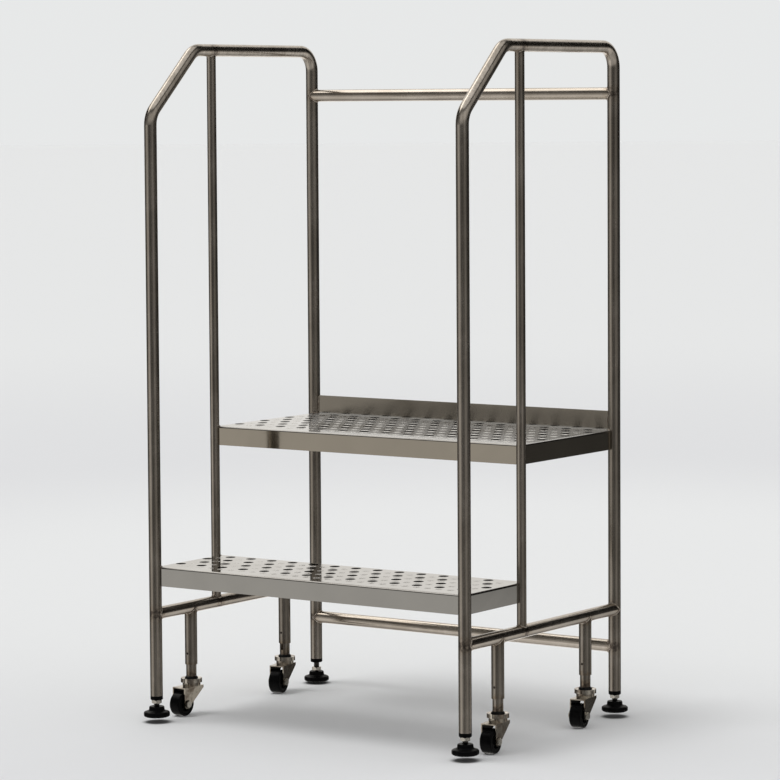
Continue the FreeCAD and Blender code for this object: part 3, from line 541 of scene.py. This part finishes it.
def outward_from(centre, run):
    """The way out of a branch tube's surface, for a bead round it."""
    def way(spot):
        out = spot - centre
        out = out - run * out.dot(run)
        return (out.normalized() + run * 0.8).normalized()
    return way


def weld_joint(name, centre, across, run, branch_radius, main_radius, size=BEAD):
    bead(name, saddle(centre, across, run, branch_radius, main_radius), size, outward_from(centre, run))


def weld_frame():
    for side in SIDES:
        x = LEG_X[side]
        for end, y, run in (("front", FRONT_Y, Y), ("rear", BACK_Y, -Y)):
            weld_joint(f"weld_side_rail_{end}_{side}", Vector((x, y, SIDE_RAIL_Z)), X, run,
                       TUBE_RADIUS, TUBE_RADIUS)
        inward = X if side == "left" else -X
        for name, z in CROSS_Z.items():
            weld_joint(f"weld_{name}_{side}", Vector((x, BACK_Y, z)), Y, inward, TUBE_RADIUS, TUBE_RADIUS)
        for end, z, run in (("foot", SIDE_RAIL_Z, Z), ("head", HANDRAIL_Z, -Z)):
            weld_joint(f"weld_post_{end}_{side}", Vector((x, POST_Y, z)), X, run,
                       POST_RADIUS, TUBE_RADIUS, POST_BEAD)
    for corner in CORNERS:
        spot = middle(f"caster_sleeve_{corner}")
        weld_joint(f"weld_sleeve_{corner}", Vector((spot.x, spot.y, SIDE_RAIL_Z)), X, -Z,
                   TUBE_RADIUS, TUBE_RADIUS)


weld_frame()


# ------------------------------------------------------------------ treads

HOLE_PITCH, ROW_PITCH, HOLE_RADIUS = 0.053, 0.044, 0.010
FIRST_HOLE, FIRST_ROW, HOLE_LAND = 0.016, 0.064, 0.003
DIMPLE_RADIUS, DIMPLE_HEIGHT, DIMPLE_LAND = 0.0078, 0.0006, 0.004
DIMPLE_EDGE, DIMPLE_RIGHT_EDGE = 0.014, 0.016


def tread_pattern(name, tubes):
    """Hole centres and the centres of the pressed dimples between them."""
    front, back = (FRONT_Y if name == "lower_tread" else POST_Y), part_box(name)[1].y
    left, right = LEG_X["left"], LEG_X["right"]
    margin = HOLE_RADIUS + HOLE_LAND

    def clear_of_tubes(x, y, land):
        return all(math.hypot(abs(x) - right, y - tube_y) >= land + radius for tube_y, radius in tubes)

    holes, dimples = [], []
    rows = int((back - front - FIRST_ROW - HOLE_RADIUS) / ROW_PITCH) + 1
    for row in range(rows):
        y = front + FIRST_ROW + row * ROW_PITCH
        x = left + FIRST_HOLE + HOLE_PITCH / 2 * (row % 2)
        while right - x >= margin:
            if x - left >= margin and clear_of_tubes(x, y, margin):
                holes.append((x, y))
            x += HOLE_PITCH
    for half_row in range(-1, 2 * rows, 2):
        y = front + FIRST_ROW + half_row * ROW_PITCH / 2
        x = left + FIRST_HOLE + HOLE_PITCH / 4
        while right - x >= DIMPLE_RIGHT_EDGE:
            inside = x - left >= DIMPLE_EDGE and back - y >= DIMPLE_EDGE
            if inside and clear_of_tubes(x, y, DIMPLE_RADIUS + DIMPLE_LAND):
                dimples.append((x, y))
            x += HOLE_PITCH / 2
    return holes, dimples


def dimple_mesh(name, spots, top):
    """Low pressed domes that run out smoothly into the sheet."""
    rings, around = 6, 28
    points, faces = [], []
    for x, y in spots:
        start = len(points)
        grow = rng.uniform(0.97, 1.03)
        for ring in range(rings):
            share = 1 - ring / rings
            sunk = 0.00004 if ring == 0 else 0
            height = DIMPLE_HEIGHT * math.cos(math.pi * share / 2) ** 0.8 - sunk
            radius = DIMPLE_RADIUS * share * grow
            for angle in arc_points(around):
                points.append((x + radius * math.cos(angle), y + radius * math.sin(angle), top + height))
        points.append((x, y, top + DIMPLE_HEIGHT))
        faces += ring_faces(rings, around, False, start)
        last = start + (rings - 1) * around
        faces += [(last + i, last + (i + 1) % around, len(points) - 1) for i in range(around)]
    return make_mesh(name, points, faces, MATERIALS["dimple"], FRAME_BODY)


def rim_mesh(name, spots, top):
    """The burnished edge of each punched hole and its wall, painted near black as shade, drawn down under
    the sheet.
    """
    edge = HOLE_RADIUS
    profile = [(edge + 0.0007, -0.0003), (edge + 0.0006, 0.00003), (edge + 0.0004, 0.00003),
               (edge - 0.0002, -0.0002), (edge - 0.0002, -0.0016), (edge - 0.0004, -0.0040),
               (edge - 0.0008, -0.0072), (edge - 0.0002, -0.0072), (edge + 0.0002, -0.0040),
               (edge + 0.0006, -0.0022)]
    points, faces = [], []
    around = 36
    for x, y in spots:
        ring_points, _ = lathe(profile, Matrix.Translation((x, y, top)), around)
        start = len(points)
        points += ring_points
        faces += ring_faces(len(profile), around, True, start)
    rims = make_mesh(name, points, faces, MATERIALS["rim"], FRAME_BODY)
    rims.data.materials.append(MATERIALS["hole_wall"])
    for face in rims.data.polygons:
        # Only the outermost band of each rim stays bright; the rest takes the painted shade.
        face.material_index = int(face.index // around % len(profile) > 0)
    return rims


def dress_treads():
    dimple = Graph("pressed_dimple_steel", (0.6, 0.59, 0.57), 1.0, 0.3)
    wear = dimple.noise((190, 190, 190), detail=3)
    dimple.colour(dimple.blend(dimple.span(wear, 0.35, 0.65), (0.48, 0.47, 0.45), (0.66, 0.65, 0.63)))
    dimple.roughness(dimple.span(wear, 0.3, 0.7, 0.22, 0.38))
    MATERIALS["dimple"] = dimple.material
    rim = Graph("punched_rim_steel", (0.6, 0.58, 0.55), 1.0, 0.2)
    wear = rim.noise((240, 240, 240), detail=3)
    rim.colour(rim.blend(rim.span(wear, 0.35, 0.65), (0.52, 0.49, 0.45), (0.74, 0.72, 0.69)))
    rim.roughness(rim.span(wear, 0.3, 0.7, 0.16, 0.3))
    MATERIALS["rim"] = rim.material
    # Painted shade: the hole walls are near black.
    MATERIALS["hole_wall"] = black_moulding("punched_wall_shadow", 0.002, 0.6, 900, 0.0)
    tubes = {"lower_tread": [(POST_Y, POST_RADIUS)],
             "upper_tread": [(POST_Y, POST_RADIUS), (BACK_Y, TUBE_RADIUS)]}
    for name, beside in tubes.items():
        holes, dimples = tread_pattern(name, beside)
        dimple_mesh(f"{name}_dimples", dimples, TREAD_TOP[name])
        rim_mesh(f"{name}_hole_rims", holes, TREAD_TOP[name])


dress_treads()


def weld_treads():
    """Short beads where the tread corners meet the tubes, and up the ends of the toe board."""
    corners = {"lower_tread": ((FRONT_Y, TUBE_RADIUS), (POST_Y, POST_RADIUS)),
               "upper_tread": ((POST_Y, POST_RADIUS), (BACK_Y, TUBE_RADIUS))}
    all_round, front_quarter, back_quarter = (-80, 80), (8, 82), (-82, -12)
    steps = 40
    for name, tubes in corners.items():
        low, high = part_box(name)
        for side in SIDES:
            x, inward = LEG_X[side], (1 if side == "left" else -1)
            for number, (y, radius) in enumerate(tubes):
                first, last = all_round if low.y + 0.02 < y < high.y - 0.02 else front_quarter
                if abs(y - high.y) < 0.03 and name == "upper_tread":
                    first, last = back_quarter
                reach = radius + 0.0006
                path = []
                for step in range(steps + 1):
                    angle = math.radians(first + (last - first) * step / steps)
                    path.append(Vector((x + inward * reach * math.cos(angle), y + reach * math.sin(angle),
                                        TREAD_TOP[name] + 0.0002)))
                bead(f"weld_{name}_{side}_{number}", path, TREAD_BEAD, lambda spot: Z, closed=False)
    back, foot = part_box("upper_tread")[1], TREAD_TOP["upper_tread"]
    steps = 30
    for side in SIDES:
        inward = 1 if side == "left" else -1
        x = LEG_X[side] + inward * (TUBE_RADIUS + 0.0004)
        path = [Vector((x, back.y - 0.0026, foot + 0.004 + (back.z - foot - 0.006) * step / steps))
                for step in range(steps + 1)]
        bead(f"weld_toe_board_{side}", path, BOARD_BEAD, lambda spot: -Y, closed=False)


weld_treads()


# ------------------------------------------------------------------ casters

def caster_axis(corner):
    place = JOINTS[f"caster_swivel_{corner}"]["pos_m"]
    return Vector((place[0], place[1], 0))


def wheel_place(corner):
    """Matrix from a piece turned about Z to the wheel's own axle."""
    joint = JOINTS[f"wheel_spin_{corner}"]
    axle = Vector(joint["axis"]).normalized()
    turn = Z.rotation_difference(axle).to_matrix().to_4x4()
    return Matrix.Translation(joint["pos_m"]) @ turn


WHEEL_RADIUS = JOINTS["wheel_spin_front_left"]["pos_m"][2]
HUB_RADIUS = 0.017


def tyre_profile():
    """Flat tread with shallow side steps and rounded shoulders, as a closed outline."""
    top = WHEEL_RADIUS - 0.00005
    half = [(HUB_RADIUS, HALF_WIDTH), (HUB_RADIUS + 0.0012, HALF_WIDTH),
            (HUB_RADIUS + 0.0018, HALF_WIDTH - 0.0007), (HUB_RADIUS + 0.0026, HALF_WIDTH),
            (top - 0.0018, HALF_WIDTH), (top - 0.0004, HALF_WIDTH - 0.0012),
            (top - 0.0001, HALF_WIDTH - 0.0034), (top, 0.0022)]
    mirrored = [(radius, -height) for radius, height in reversed(half)]
    return rounded(half + mirrored, 0.0011, 3)


def hub_profile():
    """Rim, web and boss of the moulded hub, as a closed outline."""
    rim_out, rim_in, boss = HUB_RADIUS - 0.0002, HUB_RADIUS - 0.0028, HALF_WIDTH + 0.0008
    return rounded([(rim_out, -HALF_WIDTH), (rim_out, HALF_WIDTH), (rim_in, HALF_WIDTH),
                    (HUB_RADIUS - 0.0032, 0.0035), (0.0085, 0.0030), (0.0080, boss),
                    (0.0041, boss), (0.0041, -boss), (0.0080, -boss),
                    (0.0085, -0.0030), (HUB_RADIUS - 0.0032, -0.0035), (rim_in, -HALF_WIDTH)], 0.0006, 2)


def dress_wheel(corner):
    """A moulded tyre and a hub with six spokes on either face."""
    place = wheel_place(corner)
    body = f"wheel_{corner}"
    points, faces = lathe(tyre_profile(), place, 96)
    tyre = make_mesh(f"moulded_tyre_{corner}", points, faces, MATERIALS["tyre"], body)
    keep_sharp(tyre, 50)
    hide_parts(f"wheel_tyre_{corner}")

    points, faces = lathe(hub_profile(), place, 72)
    inner, outer = 0.0076, HUB_RADIUS - 0.0026
    spoke_corners = ((inner, 0.0028), (inner, HALF_WIDTH - 0.0008),
                     (outer, HALF_WIDTH - 0.0022), (outer, 0.0028))
    quads = [(0, 1, 3, 2), (2, 3, 5, 4), (4, 5, 7, 6), (6, 7, 1, 0), (0, 2, 4, 6), (1, 7, 5, 3)]
    for side in (-1, 1):
        for spoke in range(6):
            angle = math.pi * spoke / 3 + 0.3
            out = Vector((math.cos(angle), math.sin(angle), 0))
            wide = Vector((-out.y, out.x, 0)) * 0.0009
            start = len(points)
            for radius, height in spoke_corners:
                for across in (-1, 1):
                    points.append(place @ (out * radius + wide * across + Z * height * side))
            faces += [tuple(start + i for i in (quad if side > 0 else reversed(quad))) for quad in quads]
    hub = make_mesh(f"moulded_hub_{corner}", points, faces, MATERIALS["plastic"], body)
    keep_sharp(hub, 35)
    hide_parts(f"wheel_hub_{corner}")


def dress_swivel(corner):
    """The greased collar where the plunger sits in the swivel ring."""
    plunger_low, plunger_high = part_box(f"plunger_{corner}")
    radius = (plunger_high.x - plunger_low.x) / 2
    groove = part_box(f"swivel_ring_{corner}")[1].z - 0.0022
    collar = rounded([(radius - 0.0006, groove), (radius + 0.0034, groove),
                      (radius + 0.0032, groove + 0.0026), (radius + 0.0012, plunger_low.z + 0.0022),
                      (radius - 0.0002, plunger_low.z + 0.0026), (radius - 0.0006, plunger_low.z + 0.001)],
                     0.0006, 3)
    points, faces = lathe(collar, Matrix.Translation(caster_axis(corner)), 72)
    piece = make_mesh(f"swivel_collar_{corner}", points, faces, MATERIALS["grease"],
                      f"plunger_{corner}_body")
    keep_sharp(piece, 45)


for corner in CORNERS:
    dress_wheel(corner)
    dress_swivel(corner)


# ------------------------------------------------------------------ levelling feet

THREAD_PITCH, THREAD_DEPTH = 0.00175, 0.0008
STEM_RADIUS, NECK_RADIUS, BALL_RADIUS, TIP_RADIUS = 0.006, 0.004, 0.007, 0.0003


def threaded_stem(corner):
    """Ball, neck and a helical thread drawn ring by ring."""
    low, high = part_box(f"foot_stem_{corner}")
    axis = middle(f"foot_stem_{corner}")
    ball = low.z + BALL_RADIUS
    neck_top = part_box(f"foot_pad_{corner}")[1].z + 0.0015
    around = 40

    def ring(radius, z):
        return [(axis.x + radius * math.cos(a), axis.y + radius * math.sin(a), z)
                for a in arc_points(around)]

    profile = [(TIP_RADIUS, low.z)]
    profile += [(BALL_RADIUS * math.sin(t), ball - BALL_RADIUS * math.cos(t))
                for t in arc_points(9, 0.25, 2.2)]
    profile += [(NECK_RADIUS, ball + 0.0062), (NECK_RADIUS, neck_top - 0.0004),
                (STEM_RADIUS - THREAD_DEPTH, neck_top)]
    points = []
    for radius, z in profile:
        points += ring(radius, z)
    rings = len(profile)
    z = neck_top + 0.0003
    while z < high.z - 0.0006:
        fade = min(1.0, (z - neck_top) / THREAD_PITCH, (high.z - z) / THREAD_PITCH)
        for angle in arc_points(around):
            phase = ((z - neck_top) / THREAD_PITCH - angle / (2 * math.pi)) % 1.0
            ridge = 1 - abs(2 * phase - 1)
            radius = STEM_RADIUS - 0.00005 - THREAD_DEPTH * (1 - fade * min(1.0, ridge * 1.35))
            points.append((axis.x + radius * math.cos(angle), axis.y + radius * math.sin(angle), z))
        rings += 1
        z += THREAD_PITCH / 8
    points += ring(TIP_RADIUS, high.z)
    rings += 1
    faces = ring_faces(rings, around, False)
    faces += [tuple(reversed(range(around))), tuple(range((rings - 1) * around, rings * around))]
    stem = make_mesh(f"threaded_stem_{corner}", points, faces, MATERIALS["screw"],
                     f"foot_stem_{corner}_body")
    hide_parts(f"foot_stem_{corner}")


NECK_OUT = 0.0157
SCALLOPS, SCALLOP_DEPTH = 12, 0.0005


def grip_pad(corner):
    """Moulded foot: base with shallow finger scallops, waist, neck with its lip, rubber sole."""
    low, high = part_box(f"foot_pad_{corner}")
    axis = middle(f"foot_pad_{corner}")
    body = f"foot_pad_{corner}_body"
    base, tall = (high.x - low.x) / 2, high.z - low.z
    outline = rounded([(0.0030, 0.0008), (base - 0.0022, 0.0008), (base - 0.0004, 0.0022),
                       (base - 0.0002, 0.0040), (base - 0.0004, 0.0092), (base - 0.0022, 0.0108),
                       (NECK_OUT + 0.0030, 0.0124), (NECK_OUT + 0.0004, 0.0142),
                       (NECK_OUT - 0.0002, tall - 0.0022), (NECK_OUT - 0.0012, tall - 0.0002),
                       (0.0060, tall - 0.0002), (0.0052, tall - 0.0040),
                       (0.0074, 0.0105), (0.0030, 0.0034)], 0.0012, 3)
    around = 120
    waist = NECK_OUT + 0.004
    points = []
    for radius, height in outline:
        for angle in arc_points(around):
            scallop = 0.0
            if radius > waist and height > 0.0012:
                grow = min(1.0, (radius - waist) / 0.006)
                scallop = SCALLOP_DEPTH * (0.5 - 0.5 * math.cos(SCALLOPS * angle)) * grow
            points.append((axis.x + (radius - scallop) * math.cos(angle),
                           axis.y + (radius - scallop) * math.sin(angle), low.z + height))
    faces = ring_faces(len(outline), around, True)
    pad = make_mesh(f"moulded_pad_{corner}", points, faces, MATERIALS["plastic"], body)
    keep_sharp(pad, 50)
    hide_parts(f"foot_pad_{corner}")
    sole = rounded([(0.0020, 0.0), (base - 0.0042, 0.0), (base - 0.0034, 0.0012), (0.0020, 0.0012)],
                   0.0004, 2)
    points, faces = lathe(sole, Matrix.Translation((axis.x, axis.y, low.z)), 96)
    make_mesh(f"rubber_sole_{corner}", points, faces, MATERIALS["tyre"], body)


for corner in CORNERS:
    threaded_stem(corner)
    grip_pad(corner)


# ------------------------------------------------------------------ stage, light and camera

def floor():
    """A pale studio floor; the steel mirrors the studio's own lower half instead."""
    pale = Graph("studio_paper", (0.80, 0.80, 0.80), 0.0, 0.9, Specular_IOR_Level=0.1)
    fibre = pale.noise((35, 35, 35), detail=4)
    # Painted light and shade on the paper, by distance from a spot behind the platform: brighter near it,
    # darker in a ring round it, a middle level far away.
    behind = pale.nearest([(-0.9, 1.9, 0)])
    near, ring, far = (0.765, 0.772, 0.772), (0.70, 0.705, 0.715), (0.75, 0.757, 0.757)
    shade = pale.blend(pale.span(behind, 1.2, 3.2, smooth=True), near, ring)
    shade = pale.blend(pale.span(behind, 3.0, 9.0, smooth=True), shade, far)
    shade = pale.blend(pale.span(fibre, 0.3, 0.7, 0.0, 0.03), shade, (0.6, 0.6, 0.6))
    # A painted shadow: the paper is darkened right under each raised pad.
    pads = [(*middle(f"foot_pad_{corner}").xy, 0) for corner in CORNERS]
    under = pale.span(pale.nearest(pads), 0.018, 0.034, 0.8, 0.0, smooth=True)
    pale.colour(pale.blend(under, shade, (0.02, 0.02, 0.02)))
    around, rings = 96, (0.4, 1.0, 2.5, 6.0, 15.0, 40.0, 95.0)
    points = [(radius * math.cos(a), radius * math.sin(a), 0.0)
              for radius in rings for a in arc_points(around)]
    mesh = bpy.data.meshes.new("floor")
    mesh.from_pydata(points, [], [tuple(reversed(face)) for face in ring_faces(len(rings), around, False)]
                     + [tuple(range(around))])
    mesh.update()
    ground = bpy.data.objects.new("floor", mesh)
    bpy.context.scene.collection.objects.link(ground)
    ground.data.materials.append(pale.material)
    ground.visible_glossy = False


def studio_world():
    """Even light for the floor, and for the steel a studio of dim walls, a backdrop and soft boxes."""
    world = bpy.data.worlds.new("studio")
    world.use_nodes = True
    world.cycles.sampling_method = "NONE"
    bpy.context.scene.world = world
    tree = world.node_tree
    tree.nodes.clear()

    def add(kind, **settings):
        made = tree.nodes.new(kind)
        for key, setting in settings.items():
            setattr(made, key, setting)
        return made

    def sums(operation, first, second=0.0):
        made = add("ShaderNodeMath", operation=operation)
        for socket, source in zip(made.inputs, (first, second)):
            if isinstance(source, bpy.types.NodeSocket):
                tree.links.new(source, socket)
            else:
                socket.default_value = source
        return made.outputs[0]

    def ramp(source, stops):
        made = add("ShaderNodeValToRGB")
        made.color_ramp.interpolation = "EASE"
        while len(made.color_ramp.elements) < len(stops):
            made.color_ramp.elements.new(0.5)
        for element, (position, level) in zip(made.color_ramp.elements, stops):
            element.position = position
            element.color = (level, level * 0.985, level * 0.96, 1)
        tree.links.new(source, made.inputs["Fac"])
        return made.outputs["Color"]

    def mixed(kind, share, first, second):
        made = add("ShaderNodeMix", data_type="RGBA", blend_type=kind)
        colours = [socket for socket in made.inputs if socket.type == "RGBA"]
        for socket, source in ((made.inputs["Factor"], share), (colours[0], first), (colours[1], second)):
            if isinstance(source, bpy.types.NodeSocket):
                tree.links.new(source, socket)
            else:
                socket.default_value = source
        return next(socket for socket in made.outputs if socket.type == "RGBA")

    place = add("ShaderNodeSeparateXYZ")
    tree.links.new(add("ShaderNodeTexCoord").outputs["Generated"], place.inputs[0])
    # Turn from the way the camera looks, clockwise seen from above, and height from straight
    # down to straight up, each as 0 to 1.
    turn = sums("ARCTAN2", place.outputs["X"], place.outputs["Y"])
    turn = sums("ADD", turn, CAMERA_YAW + 2 * math.pi)
    turn = sums("FRACT", sums("DIVIDE", turn, 2 * math.pi))
    height = sums("ADD", sums("DIVIDE", sums("ARCSINE", place.outputs["Z"]), math.pi), 0.5)

    def panel(across, upward):
        """Light that changes with the turn and with the height, as lists of (place, level)."""
        return mixed("MULTIPLY", 1.0, ramp(turn, across), ramp(height, upward))

    walls = panel([(0.0, 0.04), (0.05, 0.01), (0.10, 0.01), (0.19, 0.045), (0.25, 0.01), (0.30, 0.08),
                   (0.40, 0.22), (0.46, 0.11), (0.52, 0.06), (0.60, 0.10), (0.66, 0.52), (0.72, 0.55),
                   (0.78, 0.16), (0.86, 0.08), (1.0, 0.04)],
                  [(0.0, 1.0), (0.515, 1.0), (0.545, 0.3), (1.0, 0.3)])
    backdrop = panel([(0.0, 0.80), (0.040, 0.75), (0.062, 0.0), (0.94, 0.0), (0.965, 0.75), (1.0, 0.80)],
                     [(0.0, 1.0), (0.555, 1.0), (0.578, 0.0), (1.0, 0.0)])
    low_fill = panel([(0.0, 0.0), (0.15, 0.02), (0.18, 0.42), (0.21, 0.42), (0.25, 0.04), (0.6, 0.0),
                      (1.0, 0.0)],
                     [(0.0, 1.0), (0.450, 1.0), (0.462, 0.0), (1.0, 0.0)])
    high_back = panel([(0.0, 1.15), (0.112, 1.15), (0.132, 0.0), (0.885, 0.0), (0.92, 1.15), (1.0, 1.15)],
                      [(0.0, 0.0), (0.516, 0.0), (0.532, 0.65), (0.570, 0.66), (0.600, 0.85), (0.75, 0.85),
                       (0.80, 0.0), (1.0, 0.0)])
    left_box = panel([(0.0, 0.0), (0.70, 0.0), (0.76, 1.0), (0.92, 1.0), (0.96, 0.0), (1.0, 0.0)],
                     [(0.0, 0.0), (0.715, 0.0), (0.740, 2.6), (0.82, 2.6), (0.86, 0.0), (1.0, 0.0)])
    room_behind = panel([(0.0, 0.0), (0.205, 0.0), (0.255, 0.4), (0.34, 0.5), (0.60, 0.5), (0.67, 0.0),
                         (1.0, 0.0)],
                        [(0.0, 0.0), (0.53, 0.0), (0.57, 1.0), (0.72, 1.0), (0.78, 0.0), (1.0, 0.0)])
    ground = ramp(height, [(0.0, 0.45), (0.410, 0.42), (0.440, 0.0), (1.0, 0.0)])
    ceiling = ramp(height, [(0.0, 0.0), (0.80, 0.0), (0.86, 0.9), (1.0, 0.9)])
    studio = mixed("ADD", 1.0, walls, mixed("LIGHTEN", 1.0, backdrop, high_back))
    for part in (low_fill, ground, left_box, room_behind, ceiling):
        studio = mixed("ADD", 1.0, studio, part)
    ray = add("ShaderNodeLightPath")
    even = mixed("MIX", ray.outputs["Is Glossy Ray"], (SKY, SKY, SKY, 1), studio)
    seen = mixed("MIX", ray.outputs["Is Camera Ray"], even, (*PAPER_WHITE, 1))
    background = add("ShaderNodeBackground")
    tree.links.new(seen, background.inputs["Color"])
    output = add("ShaderNodeOutputWorld")
    tree.links.new(background.outputs[0], output.inputs["Surface"])


# Solved from the photograph's tube axes, tread edges and hole rows.
CAMERA_YAW = math.radians(34.71)
CAMERA_PITCH, CAMERA_ROLL = math.radians(3.863), math.radians(-0.37)
CAMERA_PLACE = Vector((3.9238, -5.6424, 1.2596))
CAMERA_LENS, CAMERA_SHIFT = 157.09, -0.077
SKY, KEY, PAPER_WHITE = 0.775, 1.0, (0.80, 0.81, 0.81)


def camera():
    yaw, pitch, roll = CAMERA_YAW, CAMERA_PITCH, CAMERA_ROLL
    ahead = Vector((-math.sin(yaw) * math.cos(pitch), math.cos(yaw) * math.cos(pitch), -math.sin(pitch)))
    right = Vector((math.cos(yaw), math.sin(yaw), 0))
    up = right.cross(ahead)
    right, up = (right * math.cos(roll) + up * math.sin(roll), up * math.cos(roll) - right * math.sin(roll))
    data = bpy.data.cameras.new("camera")
    data.sensor_width, data.lens = 36.0, CAMERA_LENS
    data.shift_y = CAMERA_SHIFT
    data.clip_start, data.clip_end = 0.05, 100
    made = bpy.data.objects.new("camera", data)
    bpy.context.scene.collection.objects.link(made)
    turn = Matrix((right, up, -ahead)).transposed()
    made.matrix_world = Matrix.Translation(CAMERA_PLACE) @ turn.to_4x4()
    bpy.context.scene.camera = made


def key_light():
    data = bpy.data.lights.new("soft_key", "SUN")
    data.energy = KEY
    data.angle = math.radians(26)
    made = bpy.data.objects.new("soft_key", data)
    bpy.context.scene.collection.objects.link(made)
    shines = Vector((0.30, 0.27, -1.0))
    made.rotation_mode = "QUATERNION"
    made.rotation_quaternion = (-shines).to_track_quat("Z", "Y")
    made.visible_glossy = False


floor()
studio_world()
key_light()
camera()
bpy.context.scene.view_settings.view_transform = "Standard"
